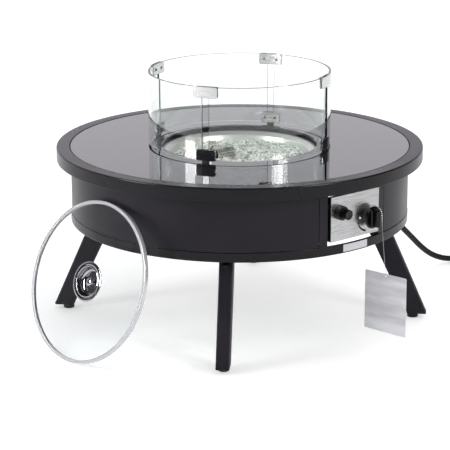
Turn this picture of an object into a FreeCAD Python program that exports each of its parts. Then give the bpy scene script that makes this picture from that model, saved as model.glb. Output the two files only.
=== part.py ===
import FreeCAD, Part
import Sketcher
import math
import os

# A low round fire pit table with a glass top, a burner pan under a round glass wind guard,
# four splayed legs, a control plate at 45 degrees, a gas hose and a loose glass lid.
# Lengths are millimetres, angles degrees. The origin is on the floor under the middle of the
# table and +Z is up. An azimuth is counted from the front (-Y) towards +X.

SIZES = {
    # table top
    "rimRadius": 412.5, "rimWidth": 29.1, "rimTop": 402, "rimHeight": 29, "rimWall": 3,
    "rimRound": 3, "ledgeReach": 15.4, "ledgeSheet": 2,
    "gasketWidth": 2, "gasketThickness": 1.5,
    "glassThickness": 5, "glassDrop": 0.5, "glassBevel": 0.8, "fireHoleRadius": 174,
    # frame under the top
    "frameSheet": 3, "frameWidth": 28.4, "lipDepth": 6, "lipSheet": 2,
    "railWidth": 25, "railHeight": 16, "collarSheet": 1.6, "collarFlange": 14,
    # skin round the body
    "rimOverhang": 32.1, "panelSheet": 1.5, "bottomRingHeight": 21,
    "ringProud": 0.8, "ringFlange": 37, "ringSheet": 2.5, "ringUpstand": 8.5, "ringRound": 3,
    "seamWidth": 1.6, "seamGap": 0.6, "frontSeam": 31, "rightSeam": 59.8, "backSeam": 148, "leftSeam": 268,
    "tongueReach": 1.4, "fitGap": 0.2,
    # control window and plate, hung from the top frame downwards
    "controlAzimuth": 45.5, "windowHalfAngle": 11.4, "windowHead": 8.5, "jambDepth": 9,
    "plateInset": 2.4, "plateMargin": 5.189, "plateHeight": 98, "plateHead": 4.2, "plateSill": 8.8,
    "plateSheet": 1.2, "plateDepth": 10.2, "plateRound": 1, "shieldDepth": 76, "shieldSheet": 1,
    "labelSheet": 0.3, "labelWidth": 70, "labelHeight": 16, "labelRise": 3.3,
    # igniter
    "igniterInset": 23, "igniterLift": 63.2, "collarRadius": 15.5, "collarProud": 13.5,
    "barrelRadius": 12.8, "barrelDepth": 58, "buttonRadius": 11, "buttonProud": 31.5,
    "buttonFit": 0.08, "buttonTravel": 4.5, "batteryRadius": 5.25, "batteryLength": 44.5,
    # knob and valve
    "knobInset": 31.5, "knobLift": 39.7, "hubRadius": 9, "hubStart": 5, "hubLength": 9.5,
    "skirtRadius": 24.5, "skirtThickness": 4.5, "gripWidth": 13, "gripRadius": 19.5,
    "gripHeight": 17.5, "stemRadius": 4, "stemFit": 0.06,
    "valveWidth": 34, "valveDepth": 40, "valveFlange": 60, "screwSpacing": 46.8,
    "screwRadius": 1.9, "screwHead": 3.3,
    # legs and bottom frame
    "armWidth": 30, "armHeight": 20, "armEnd": 3, "armWall": 1.5, "postWidth": 20,
    "legWidth": 30, "legWall": 2.2, "legInset": 49.4, "legTopDepth": 51.5,
    "legFootOuter": 428.8, "legFootDepth": 44.8, "legCut": 12, "legRound": 5,
    "spigotLength": 45, "spigotFit": 0.4, "capThickness": 3, "plugHeight": 14,
    "glideRadius": 12.5, "glideInset": 30.8, "legBoltDrop": 18.5, "boltHead": 7, "boltShank": 3.8,
    "frameScrew": 3,
    # fire bowl
    "panDrop": 13, "panSheet": 1.2, "panFlange": 6.8, "panSlopeReach": 10, "panSlopeDrop": 6.2,
    "panFloorRadius": 149, "panDepth": 38.5, "panHole": 12.5,
    "burnerRadius": 104, "burnerTube": 6.5, "burnerLift": 14, "portRadius": 1.1,
    "bedEdgeLift": 24.5, "bedCrownLift": 19.5, "mixerLength": 34,
    "hoodX": -38.4, "hoodY": 8, "hoodTurn": 46, "hoodRadius": 13, "hoodLength": 50, "hoodSheet": 1,
    "hoodHeight": 37, "hoodHole": 2, "pilotRod": 3, "pilotGap": 4.6, "pilotApart": 11,
    # wind guard
    "guardRadius": 204.9, "guardGlass": 5, "guardLift": 5, "guardHeight": 161.9,
    "guardGap": 16, "guardAzimuth": -16.3, "clipSheet": 2, "upperClipWidth": 56,
    "lowerClipWidth": 46, "clipHeight": 25, "lowerClipLift": 4.5, "guardRest": 0.2, "footWidth": 15,
    "clipFit": 0.3,
    # lid
    "lidRadius": 176, "lidGlass": 4, "bandSheet": 1.1, "bandDepth": 10.5, "bandLip": 9,
    "lidAzimuth": -40.3, "lidAcross": -12.3, "lidTilt": 19.5, "lidGap": 0.3,
    "cupRadius": 43.5, "cupMouth": 31.6, "cupDepth": 13, "cupSheet": 1.2, "lidKnobRadius": 9,
    # hang tag
    "tagWidth": 111.5, "tagHeight": 132, "tagSheet": 0.6, "tagTurn": 53.2, "tagAside": 14.2,
    "tagOut": 43, "tagDrop": 123, "beadRadius": 1.2, "beadPitch": 3.1, "chainWire": 0.45,
    # gas hose
    "hoseRadius": 7, "coilRadius": 84, "coilPitch": 14.8, "coilX": 592, "coilY": 384,
    "coilStart": 97, "fittingRadius": 9,
}


class Size:
    """A number together with the formula that gives it, so that a property can be bound to it."""

    def __init__(self, value, formula):
        self.value = float(value)
        self.formula = formula

    def __float__(self):
        return self.value

    def _join(self, other, sign, value):
        return Size(value, "(%s %s %s)" % (self.formula, sign, text(other)))

    def __add__(self, other):
        return self._join(other, "+", self.value + float(other))

    def __sub__(self, other):
        return self._join(other, "-", self.value - float(other))

    def __mul__(self, other):
        return self._join(other, "*", self.value * float(other))

    def __truediv__(self, other):
        return self._join(other, "/", self.value / float(other))

    def __neg__(self):
        return Size(-self.value, "(-1 * %s)" % self.formula)

    def __radd__(self, other):
        return Size(float(other) + self.value, "(%s + %s)" % (text(other), self.formula))

    def __rsub__(self, other):
        return Size(float(other) - self.value, "(%s - %s)" % (text(other), self.formula))

    def __rmul__(self, other):
        return Size(float(other) * self.value, "(%s * %s)" % (text(other), self.formula))


class SizeSheet:
    """Gives each size of the sheet as an attribute, such as d.rimRadius."""

    def __getattr__(self, name):
        return Size(doc.Sizes.get(name), "Sizes." + name)


def text(value):
    return value.formula if isinstance(value, Size) else "%.9g" % float(value)


def sine(angle):
    return Size(math.sin(math.radians(float(angle))), "sin(%s)" % text(angle))


def cosine(angle):
    return Size(math.cos(math.radians(float(angle))), "cos(%s)" % text(angle))


def arc_angle(chord, radius):
    """Half angle in degrees that half a chord takes up on a circle."""
    value = math.degrees(math.asin(float(chord) / 2 / float(radius)))
    return Size(value, "(asin(%s / 2 / %s) / 1 deg)" % (text(chord), text(radius)))


def make_sheet():
    """The driving sizes, one row each: its name, and its value under that alias."""
    sheet = doc.addObject("Spreadsheet::Sheet", "Sizes")
    for row, (name, value) in enumerate(SIZES.items(), start=1):
        sheet.set("A%d" % row, name)
        sheet.set("B%d" % row, str(value))
        sheet.setAlias("B%d" % row, name)
    doc.recompute()


doc = FreeCAD.newDocument("FirePitTable")
make_sheet()
d = SizeSheet()
pieces = {}

# Places that several pieces share
rimInner = d.rimRadius - d.rimWidth
apronRadius = d.rimRadius - d.rimOverhang
frameInner = apronRadius - d.frameWidth
rimBottom = d.rimTop - d.rimHeight
frameTop = rimBottom + d.frameSheet
glassTop = d.rimTop - d.glassDrop
glassBottom = glassTop - d.glassThickness
glassRadius = rimInner - d.gasketWidth
ledgeTop = glassBottom - d.gasketThickness
ledgeInner = rimInner - d.ledgeReach
windowTop = rimBottom - d.windowHead
plateTop = windowTop - d.plateHead
plateBottom = plateTop - d.plateHeight
plateDistance = apronRadius - d.plateInset
seamHeight = plateBottom - d.plateSill
apronBottom = seamHeight - d.bottomRingHeight
panelInner = apronRadius - d.panelSheet
flangeTop = apronBottom + d.ringSheet
armTop = flangeTop + d.armHeight
postInner = frameInner
armReach = postInner + d.postWidth + d.armEnd
legTopOuter = apronRadius - d.legInset
legTopInner = legTopOuter - d.legTopDepth
legFootInner = d.legFootOuter - d.legFootDepth
legBoltHeight = flangeTop - d.legBoltDrop
collarInner = d.fireHoleRadius + 0.4
panSeat = glassTop - d.panDrop
panFloor = panSeat - d.panDepth
burnerHeight = panFloor + d.burnerLift
bedEdge = panFloor + d.bedEdgeLift
bedCrown = panFloor + d.bedCrownLift
hoodCrown = panFloor + d.hoodHeight
lipOuter = panelInner - d.fitGap
valveFace = d.plateSheet + 3
knobHeight = plateBottom + d.knobLift
igniterHeight = plateBottom + d.igniterLift
guardBottom = glassTop + d.guardLift
guardTop = guardBottom + d.guardHeight
lowerClipBottom = glassTop + d.lowerClipLift
windowEdge = apronRadius * sine(d.windowHalfAngle)
plateHalf = windowEdge - d.plateMargin
igniterAcross = d.igniterInset - plateHalf
knobAcross = plateHalf - d.knobInset
tagAcross = knobAcross + d.tagAside
tagTop = knobHeight - d.tagDrop
legAxes = (("front", 0), ("right", 90), ("back", 180), ("left", 270))


def bind(obj, **values):
    for name, value in values.items():
        obj.setExpression(name, text(value))
    return obj


def seat(obj, azimuth=0, x=0, y=0, z=0, lean=0):
    """Lean about X and shift a piece that is built at the front, then turn it to its azimuth."""
    turn = "placement(vector(0; 0; 0); rotation(vector(0; 0; 1); %s))" % text(azimuth)
    shift = "placement(vector(%s; %s; %s); rotation(vector(1; 0; 0); %s))" % (
        text(x), text(y), text(z), text(lean))
    obj.setExpression("Placement", turn + " * " + shift)
    return obj


def stand(obj, x, y, z, turn):
    """Turn a piece about its own upright axis and set it down at a point."""
    obj.setExpression("Placement", "placement(vector(%s; %s; %s); rotation(vector(0; 0; 1); %s))" % (
        text(x), text(y), text(z), text(turn)))
    return obj


def keep(obj, label):
    """A finished piece of the table: its label names its file."""
    obj.Label = label
    pieces[label] = obj
    return obj


def cylinder(name, radius, height, angle=360, **place):
    rod = doc.addObject("Part::Cylinder", name)
    bind(rod, Radius=radius, Height=height, Angle=angle)
    return seat(rod, **place)


def block(name, length, width, height, azimuth=0, x=0, y=0, z=0, lean=0):
    """A box centred on x, from y and z on."""
    cuboid = doc.addObject("Part::Box", name)
    bind(cuboid, Length=length, Width=width, Height=height)
    return seat(cuboid, azimuth=azimuth, x=x - length * 0.5, y=y, z=z, lean=lean)


def peg(name, radius, start, length, across, height, angle=360):
    """A round piece that stands out of the control plate, start and length counted outwards."""
    out = plateDistance + start
    return cylinder(name, radius, length, angle=angle, x=across, y=-out, z=height, lean=90)


def fused(name, *parts):
    union = doc.addObject("Part::MultiFuse", name)
    union.Shapes = list(parts)
    return union


def cut(name, base, *tools):
    difference = doc.addObject("Part::Cut", name)
    difference.Base = base
    difference.Tool = tools[0] if len(tools) == 1 else fused(name + "_tools", *tools)
    return difference


def plane_of(body, role):
    return [plane for plane in body.Origin.OriginFeatures if plane.Role == role][0]


def polygon(body, name, plane, points):
    """A closed outline whose corners are bound to their two sizes."""
    sketch = body.newObject("Sketcher::SketchObject", name)
    sketch.AttachmentSupport = [(plane_of(body, plane), "")]
    sketch.MapMode = "FlatFace"
    corners = [FreeCAD.Vector(float(x), float(y), 0) for x, y in points]
    count = len(corners)
    for i in range(count):
        sketch.addGeometry(Part.LineSegment(corners[i], corners[(i + 1) % count]), False)
    for i in range(count):
        sketch.addConstraint(Sketcher.Constraint("Coincident", i, 2, (i + 1) % count, 1))
    for i, (x, y) in enumerate(points):
        for kind, value in (("DistanceX", x), ("DistanceY", y)):
            index = sketch.addConstraint(Sketcher.Constraint(kind, -1, 1, i, 1, float(value)))
            sketch.setExpression("Constraints[%d]" % index, text(value))
    return sketch


def revolved(name, points):
    """A body turned about Z from corners given as radius and height."""
    body = doc.addObject("PartDesign::Body", name)
    sketch = polygon(body, name + "_profile", "XZ_Plane", points)
    turn = body.newObject("PartDesign::Revolution", name + "_turn")
    turn.Profile = sketch
    turn.ReferenceAxis = (sketch, ["V_Axis"])
    turn.Angle = 360
    doc.recompute()
    return body


def padded(name, plane, points, length, both_sides=True):
    """A body drawn as an outline on an origin plane and padded to its length."""
    body = doc.addObject("PartDesign::Body", name)
    pad = body.newObject("PartDesign::Pad", name + "_pad")
    pad.Profile = polygon(body, name + "_outline", plane, points)
    pad.SideType = "Symmetric" if both_sides else "One side"
    bind(pad, Length=length)
    doc.recompute()
    return body


def pocketed(body, name, plane, points, length, both_sides=True, reverse=False):
    pocket = body.newObject("PartDesign::Pocket", name)
    pocket.Profile = polygon(body, name + "_outline", plane, points)
    pocket.SideType = "Symmetric" if both_sides else "One side"
    pocket.Reversed = reverse
    bind(pocket, Length=length)
    doc.recompute()
    return body


def rounded(body, name, radius, wanted):
    """Round the edges of a body that the given test picks out."""
    edges = body.Tip.Shape.Edges
    names = ["Edge%d" % (i + 1) for i, edge in enumerate(edges) if wanted(edge)]
    fillet = body.newObject("PartDesign::Fillet", name)
    fillet.Base = (body.Tip if body.Tip.Name != name else fillet.BaseFeature, names)
    bind(fillet, Radius=radius)
    doc.recompute()
    return body


def ring_edge(radius, height):
    """A test that is true for the circle of that radius at that height."""
    def test(edge):
        if not isinstance(edge.Curve, Part.Circle):
            return False
        same_radius = abs(edge.Curve.Radius - float(radius)) < 0.01
        return same_radius and abs(edge.Curve.Center.z - float(height)) < 0.01
    return test


# Table top


def make_rim():
    bottom, top = rimBottom, d.rimTop
    inner_wall = rimInner + d.rimWall
    outer_wall = d.rimRadius - d.rimWall
    ledge_under = ledgeTop - d.ledgeSheet
    body = revolved("rim_body", [
        (d.rimRadius, bottom), (d.rimRadius, top), (rimInner, top), (rimInner, ledgeTop),
        (ledgeInner, ledgeTop), (ledgeInner, ledge_under), (rimInner, ledge_under), (rimInner, frameTop),
        (inner_wall, frameTop), (inner_wall, top - d.rimWall), (outer_wall, top - d.rimWall),
        (outer_wall, bottom)])
    rounded(body, "rim_top_round", d.rimRound, ring_edge(d.rimRadius, top))
    rounded(body, "rim_bottom_round", d.rimRound / 2, ring_edge(d.rimRadius, bottom))
    rounded(body, "rim_inner_round", d.rimRound / 3, ring_edge(rimInner, top))
    keep(body, "rim_ring")


def make_glass_top():
    inner, outer, bevel = d.fireHoleRadius, glassRadius - 0.1, d.glassBevel
    body = revolved("glass_body", [
        (inner, glassBottom + bevel), (inner, glassTop - bevel), (inner + bevel, glassTop),
        (outer - bevel, glassTop), (outer, glassTop - bevel), (outer, glassBottom + bevel),
        (outer - bevel, glassBottom), (inner + bevel, glassBottom)])
    keep(body, "glass_top")


def make_gasket():
    outer = rimInner - 0.1
    body = revolved("gasket_body", [
        (ledgeInner + 1, ledgeTop), (outer, ledgeTop), (outer, glassTop - 0.3),
        (glassRadius, glassTop - 0.3), (glassRadius, glassBottom), (ledgeInner + 1, glassBottom)])
    keep(body, "glass_gasket")


def make_top_frame():
    """Flat ring that carries the rim, four rails, and the collar that holds the fire bowl."""
    outer = d.rimRadius - d.rimWall - d.fitGap
    lip_inner = lipOuter - d.lipSheet
    lip_bottom = rimBottom - d.lipDepth
    ring = revolved("frame_ring", [
        (frameInner, rimBottom), (lip_inner, rimBottom), (lip_inner, lip_bottom), (lipOuter, lip_bottom),
        (lipOuter, rimBottom), (outer, rimBottom), (outer, frameTop), (frameInner, frameTop)])
    collar_outer = collarInner + d.collarSheet
    flange_under = glassBottom - d.collarSheet
    shelf_under = panSeat - d.collarSheet
    shelf_inner = collarInner - d.panFlange + 0.2
    collar = revolved("frame_collar", [
        (shelf_inner, shelf_under), (collar_outer, shelf_under), (collar_outer, flange_under),
        (collar_outer + d.collarFlange, flange_under), (collar_outer + d.collarFlange, glassBottom),
        (collarInner, glassBottom), (collarInner, panSeat), (shelf_inner, panSeat)])
    start = collarInner + 0.5
    end = ledgeInner - 2
    rails = [block("frame_rail_" + side, d.railWidth, end - start, d.railHeight,
                   azimuth=azimuth, y=-end, z=frameTop) for side, azimuth in legAxes]
    keep(fused("frame_union", ring, collar, *rails), "top_frame")


# Skin


def wedge(name, radius, start, end, bottom, top):
    """A slice of a cylinder between two azimuths."""
    return cylinder(name, radius, top - bottom, angle=end - start, azimuth=start - 90, z=bottom)


def curved_sheet(name, outer, inner, start, end, bottom, top):
    core = cylinder(name + "_core", inner, top - bottom + 2, z=bottom - 1)
    return cut(name, wedge(name + "_slice", outer, start, end, bottom, top), core)


def skin(name, start, end):
    """A curved panel with a tongue that reaches behind the next one."""
    half_seam = arc_angle(d.seamWidth, apronRadius)
    edge = end - half_seam
    sheet = curved_sheet(name + "_sheet", apronRadius, panelInner, start + half_seam, edge,
                         seamHeight + d.seamGap, rimBottom)
    tongue = curved_sheet(name + "_tongue", panelInner, panelInner - d.panelSheet, edge - 1,
                          edge + d.tongueReach, seamHeight + d.ringUpstand + 1, rimBottom - d.lipDepth - 1)
    return fused(name + "_union", sheet, tongue)


def make_panels():
    keep(skin("front", d.leftSeam - 360, d.frontSeam), "panel_front")
    keep(skin("right", d.rightSeam, d.backSeam), "panel_right")
    keep(skin("back", d.backSeam, d.leftSeam), "panel_back")


def make_control_frame():
    start = d.controlAzimuth - d.windowHalfAngle
    end = d.controlAzimuth + d.windowHalfAngle
    opening = wedge("window_slice", apronRadius + 5, start, end, seamHeight - 5, windowTop)
    face = cut("window_face", skin("window", d.frontSeam, d.rightSeam), opening)
    depth = apronRadius * cosine(d.windowHalfAngle)
    beside = windowEdge + d.panelSheet / 2
    jambs = []
    for side, across in (("left", -beside), ("right", beside)):
        jambs.append(block("jamb_" + side, d.panelSheet, d.jambDepth, windowTop - seamHeight - d.seamGap,
                           azimuth=d.controlAzimuth, x=across, y=-depth + 0.6, z=seamHeight + d.seamGap))
    header = curved_sheet("window_header", panelInner + 0.2, panelInner - d.jambDepth, start, end,
                          windowTop, windowTop + d.panelSheet)
    keep(fused("control_frame_union", face, header, *jambs), "control_frame")


def make_bottom_ring():
    """Angle ring under the skin: a wall, an upstand behind the panels and a flange inwards."""
    outer = apronRadius + d.ringProud
    upstand_inner = lipOuter - d.ringSheet
    flange_inner = lipOuter - d.ringFlange
    upstand_top = seamHeight + d.ringUpstand
    body = revolved("bottom_ring_body", [
        (flange_inner, apronBottom), (outer, apronBottom), (outer, seamHeight), (lipOuter, seamHeight),
        (lipOuter, upstand_top), (upstand_inner, upstand_top), (upstand_inner, flangeTop),
        (flange_inner, flangeTop)])
    rounded(body, "bottom_ring_round", d.ringRound, ring_edge(outer, apronBottom))
    notch = wedge("bottom_ring_notch", outer + 1, d.controlAzimuth - d.windowHalfAngle - 1.2,
                  d.controlAzimuth + d.windowHalfAngle + 1.2, seamHeight, upstand_top + 1)
    holes = [screw_hole("ring", side, azimuth) for side, azimuth in legAxes]
    keep(cut("bottom_ring_cut", body, notch, *holes), "bottom_ring")


def screw_hole(name, side, azimuth):
    """Drill for a frame screw, up through the bottom ring's flange and the wall of an arm."""
    return cylinder("%s_screw_hole_%s" % (name, side), d.frameScrew + 0.1, d.ringSheet + 6, azimuth=azimuth,
                    y=-(postInner + d.postWidth / 2), z=apronBottom - 1)


def make_label():
    """Blank label stuck to the bottom ring below the control plate."""
    inner = apronRadius + d.ringProud + 0.1
    half = arc_angle(d.labelWidth, inner)
    bottom = apronBottom + d.labelRise
    sheet = curved_sheet("label_sheet", inner + d.labelSheet, inner, d.controlAzimuth - half,
                         d.controlAzimuth + half, bottom, bottom + d.labelHeight)
    keep(sheet, "blank_label")


# Legs and bottom frame

legSlopeOuter = (d.legFootOuter - legTopOuter) / (flangeTop - d.legCut)
legSlopeInner = (legFootInner - legTopInner) / (flangeTop - d.legCut)


def leg_outline(bottom, top, inset):
    """Side view of a leg between two heights as distances along Y, drawn in by the inset."""
    def outer(height):
        return -(legTopOuter + (flangeTop - height) * legSlopeOuter - inset)

    def inner(height):
        return -(legTopInner + (flangeTop - height) * legSlopeInner + inset)
    return [(outer(top), top), (inner(top), top), (inner(bottom), bottom), (outer(bottom), bottom)]


def long_edge(edge):
    """True for the four long edges of a leg, which lean in the side view only."""
    ends = [vertex.Point for vertex in edge.Vertexes]
    return len(ends) == 2 and abs(ends[0].z - ends[1].z) > 1 and abs(ends[0].y - ends[1].y) > 0.1


def bolt_lean():
    """The bolt stands square on the leg's outer face."""
    value = 90 - math.degrees(math.atan(float(legSlopeOuter)))
    return Size(value, "(90 - atan(%s) / 1 deg)" % text(legSlopeOuter))


def bolt_seat():
    return -(legTopOuter + (flangeTop - legBoltHeight) * legSlopeOuter)


def leg_hole(name, radius, azimuth):
    """Drill for the leg bolt, from outside the leg to the middle of its spigot."""
    lean = bolt_lean()
    return cylinder(name, radius, 42, azimuth=azimuth, y=bolt_seat() + 32 * sine(lean),
                    z=legBoltHeight - 32 * cosine(lean), lean=lean)


def make_legs():
    for side, azimuth in legAxes:
        name = "leg_" + side
        body = padded(name + "_body", "YZ_Plane", leg_outline(d.legCut, flangeTop, 0), d.legWidth)
        rounded(body, name + "_round", d.legRound, long_edge)
        pocketed(body, name + "_hollow", "YZ_Plane", leg_outline(d.legCut - 1, flangeTop + 1, d.legWall),
                 d.legWidth - 2 * d.legWall)
        hole = leg_hole(name + "_hole", d.boltShank + 0.3, 0)
        keep(seat(cut(name + "_cut", body, hole), azimuth=azimuth), name)


def make_bottom_frame():
    """Crossed tubes on the bottom ring's flange, posts up to the top, and a spigot for each leg."""
    solids, hollows = [], []
    for side, azimuth in legAxes[:2]:
        solids.append(block("arm_" + side, d.armWidth, 2 * armReach, d.armHeight, azimuth=azimuth,
                            y=-armReach, z=flangeTop))
        hollows.append(block("arm_hollow_" + side, d.armWidth - 2 * d.armWall, 2 * armReach + 2,
                             d.armHeight - 2 * d.armWall, azimuth=azimuth, y=-armReach - 1,
                             z=flangeTop + d.armWall))
    for side, azimuth in legAxes:
        solids.append(block("post_" + side, d.postWidth, d.postWidth, rimBottom - armTop, azimuth=azimuth,
                            y=-(postInner + d.postWidth), z=armTop))
        inset = d.legWall + d.spigotFit
        outline = leg_outline(flangeTop - d.spigotLength, flangeTop, inset)
        spigot = padded("spigot_" + side, "YZ_Plane", outline, d.legWidth - 2 * inset)
        solids.append(seat(spigot, azimuth=azimuth))
        hollows.append(leg_hole("spigot_hole_" + side, d.boltShank + 0.1, azimuth))
        hollows.append(screw_hole("arm", side, azimuth))
    keep(cut("cross_frame_cut", fused("cross_frame_union", *solids), *hollows), "cross_frame")


def make_leg_bolts():
    bolts = []
    for side, azimuth in legAxes:
        body = revolved("leg_bolt_" + side, [
            (0, -30), (d.boltShank, -30), (d.boltShank, 0), (d.boltHead, 0), (d.boltHead, 1.2),
            (d.boltHead * 0.82, 2.8), (d.boltHead * 0.5, 3.7), (0, 4)])
        bolts.append(seat(body, azimuth=azimuth, y=bolt_seat(), z=legBoltHeight, lean=bolt_lean()))
    keep(fused("leg_bolt_set", *bolts), "leg_bolts")


def upright_edge(edge):
    ends = [vertex.Point for vertex in edge.Vertexes]
    return len(ends) == 2 and abs(ends[0].z - ends[1].z) > 1 and abs(ends[0].y - ends[1].y) < 0.01


def make_leg_ends():
    """A closing cap with a plug in each leg's tube, and the round glide under it."""
    caps, glides = [], []
    bottom = d.legCut - d.capThickness
    half = d.legWidth / 2
    for side, azimuth in legAxes:
        plate = padded("cap_plate_" + side, "YZ_Plane", [
            (-d.legFootOuter, bottom), (-legFootInner, bottom), (-legFootInner, d.legCut),
            (-d.legFootOuter, d.legCut)], 2 * half)
        rounded(plate, "cap_corner_" + side, d.legRound, upright_edge)
        rounded(plate, "cap_round_" + side, d.capThickness * 0.6,
                lambda edge: all(abs(vertex.Point.z - float(bottom)) < 0.01 for vertex in edge.Vertexes))
        inset = d.legWall + d.spigotFit
        outline = leg_outline(d.legCut - 0.5, d.legCut + d.plugHeight, inset)
        plug = padded("cap_plug_" + side, "YZ_Plane", outline, d.legWidth - 2 * inset)
        caps.append(seat(fused("cap_" + side, plate, plug), azimuth=azimuth))
        glide = revolved("glide_" + side, [
            (0, 0), (d.glideRadius - 1, 0), (d.glideRadius, 1), (d.glideRadius, bottom), (0, bottom)])
        glides.append(seat(glide, azimuth=azimuth, y=-(d.legFootOuter - d.glideInset)))
    keep(fused("cap_set", *caps), "leg_caps")
    keep(fused("glide_set", *glides), "foot_glides")


def make_frame_screws():
    """Screws through the bottom ring's flange into the crossed tubes."""
    screws = []
    for side, azimuth in legAxes:
        body = revolved("frame_screw_" + side, [
            (0, -3), (4.5, -3), (6, -1.2), (6, 0), (d.frameScrew, 0), (d.frameScrew, d.ringSheet + 4),
            (0, d.ringSheet + 4)])
        screws.append(seat(body, azimuth=azimuth, y=-(postInner + d.postWidth / 2), z=apronBottom))
    keep(fused("frame_screw_set", *screws), "frame_screws")


# Control plate, igniter and valve


def make_control_plate():
    half = plateHalf
    wall = d.plateSheet
    body = padded("plate_body", "XZ_Plane", [
        (-half, plateBottom), (half, plateBottom), (half, plateTop), (-half, plateTop)],
        d.plateDepth, both_sides=False)
    front = -float(d.plateDepth)
    rounded(body, "plate_round", d.plateRound,
            lambda edge: all(abs(vertex.Point.y - front) < 0.01 for vertex in edge.Vertexes))
    pocketed(body, "plate_hollow", "XZ_Plane", [
        (-half + wall, plateBottom - 5), (half - wall, plateBottom - 5), (half - wall, plateTop - wall),
        (-half + wall, plateTop - wall)], d.plateDepth - wall, both_sides=False, reverse=True)
    seat(body, y=-(plateDistance - d.plateDepth))
    holes = [peg("plate_igniter_hole", d.barrelRadius + 0.3, -5, 10, igniterAcross, igniterHeight),
             peg("plate_knob_hole", d.hubRadius + 1, -5, 10, knobAcross, knobHeight)]
    for side, sign in (("left", -1), ("right", 1)):
        holes.append(peg("plate_screw_hole_" + side, d.screwRadius + 0.3, -5, 10,
                         knobAcross + sign * d.screwSpacing / 2, knobHeight))
    keep(seat(cut("plate_cut", body, *holes), azimuth=d.controlAzimuth), "control_plate")


def make_heat_shield():
    """Folded sheet over the controls, with spacers that hold the plate between its sides."""
    half = windowEdge - d.fitGap
    top = windowTop - d.fitGap
    front = apronRadius * cosine(d.windowHalfAngle) - 2
    sheet = d.shieldSheet
    parts = [block("shield_top", 2 * half, d.shieldDepth, sheet, y=-front, z=top - sheet)]
    for side, sign in (("left", -1), ("right", 1)):
        parts.append(block("shield_side_" + side, sheet, d.shieldDepth, top - plateBottom - 4,
                           x=sign * (half - sheet / 2), y=-front, z=plateBottom + 4))
        gap = half - sheet - plateHalf
        for level, height in (("low", plateBottom + 14), ("high", plateTop - 26)):
            parts.append(block("shield_spacer_%s_%s" % (side, level), gap - 0.1, 4, 12,
                               x=sign * (plateHalf + 0.1 + (gap - 0.1) / 2), y=-front, z=height))
    slot = block("shield_hose_slot", 30, 30, 36, x=half, y=-(plateDistance - 11), z=knobHeight - 18)
    union = cut("shield_cut", fused("shield_union", *parts), slot)
    keep(seat(union, azimuth=d.controlAzimuth), "heat_shield")


def make_igniter():
    across, height = igniterAcross, igniterHeight
    inside = d.buttonTravel + 4.5
    shell = fused("igniter_shell",
                  peg("igniter_flange", d.collarRadius, 0, d.collarProud, across, height),
                  peg("igniter_barrel", d.barrelRadius, -d.barrelDepth, d.barrelDepth, across, height))
    bore = peg("igniter_bore", d.buttonRadius + d.buttonFit, -inside, inside + d.collarProud + 1,
               across, height)
    cell = peg("igniter_cell_bore", d.batteryRadius + 0.4, -(d.batteryLength + inside + 0.3),
               d.batteryLength + 1, across, height)
    keep(seat(cut("igniter_cut", shell, bore, cell), azimuth=d.controlAzimuth), "igniter_collar")
    nut = cut("igniter_nut_cut",
              peg("igniter_nut_ring", d.collarRadius + 1.5, -(d.plateSheet + 5), 5, across, height),
              peg("igniter_nut_bore", d.barrelRadius + 0.1, -20, 25, across, height))
    keep(seat(nut, azimuth=d.controlAzimuth), "igniter_nut")
    battery = fused("battery_union",
                    peg("battery_body", d.batteryRadius, -(d.batteryLength + inside), d.batteryLength - 1,
                        across, height),
                    peg("battery_tip", 1.9, -(inside + 2), 1.8, across, height))
    keep(seat(battery, azimuth=d.controlAzimuth), "igniter_battery")
    make_button(across, height)


def make_button(across, height):
    """Push cap with a fluted grip."""
    start = -3
    cap = peg("button_cap", d.buttonRadius, start, d.buttonProud - start, across, height)
    flutes = []
    count = 16
    for i in range(count):
        angle = 360.0 * i / count
        flutes.append(peg("button_flute_%02d" % i, 1.1, d.collarProud + 2, d.buttonProud - d.collarProud,
                          across + (d.buttonRadius + 0.4) * cosine(angle),
                          height + (d.buttonRadius + 0.4) * sine(angle)))
    keep(seat(cut("button_cut", cap, *flutes), azimuth=d.controlAzimuth), "igniter_button")


def make_knob():
    """Round skirt on a hub, with a grip bar across its face."""
    across, height = knobAcross, knobHeight
    skirt_start = d.hubStart + d.hubLength
    skirt_end = skirt_start + d.skirtThickness
    reach = d.skirtRadius
    body = revolved("knob_body", [
        (0, 0), (d.hubRadius, 0), (d.hubRadius, d.hubLength), (reach - 1, d.hubLength),
        (reach, d.hubLength + 1), (reach, d.hubLength + d.skirtThickness - 2.5),
        (reach - 2.5, d.hubLength + d.skirtThickness), (0, d.hubLength + d.skirtThickness)])
    seat(body, x=across, y=-(plateDistance + d.hubStart), z=height, lean=90)
    bar = block("knob_bar", d.gripWidth, d.gripHeight + 1, 2 * d.gripRadius, x=across,
                y=-(plateDistance + skirt_end + d.gripHeight), z=height - d.gripRadius)
    trim = peg("knob_trim", d.gripRadius, skirt_start, 60, across, height)
    grip = doc.addObject("Part::Common", "knob_grip")
    grip.Base, grip.Tool = bar, trim
    bore = peg("knob_bore", d.stemRadius + 0.05, d.hubStart - 1, 15, across, height)
    knob = cut("knob_cut", fused("knob_union", body, grip), bore)
    keep(seat(knob, azimuth=d.controlAzimuth), "control_knob")
    stem = fused("stem_union",
                 peg("stem_rod", d.stemRadius, -(valveFace + 13), valveFace + 13 + d.hubStart + 8,
                     across, height),
                 peg("stem_tip", d.stemRadius - 0.8, d.hubStart + 7, 2.5, across, height))
    keep(seat(stem, azimuth=d.controlAzimuth), "valve_stem")


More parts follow.
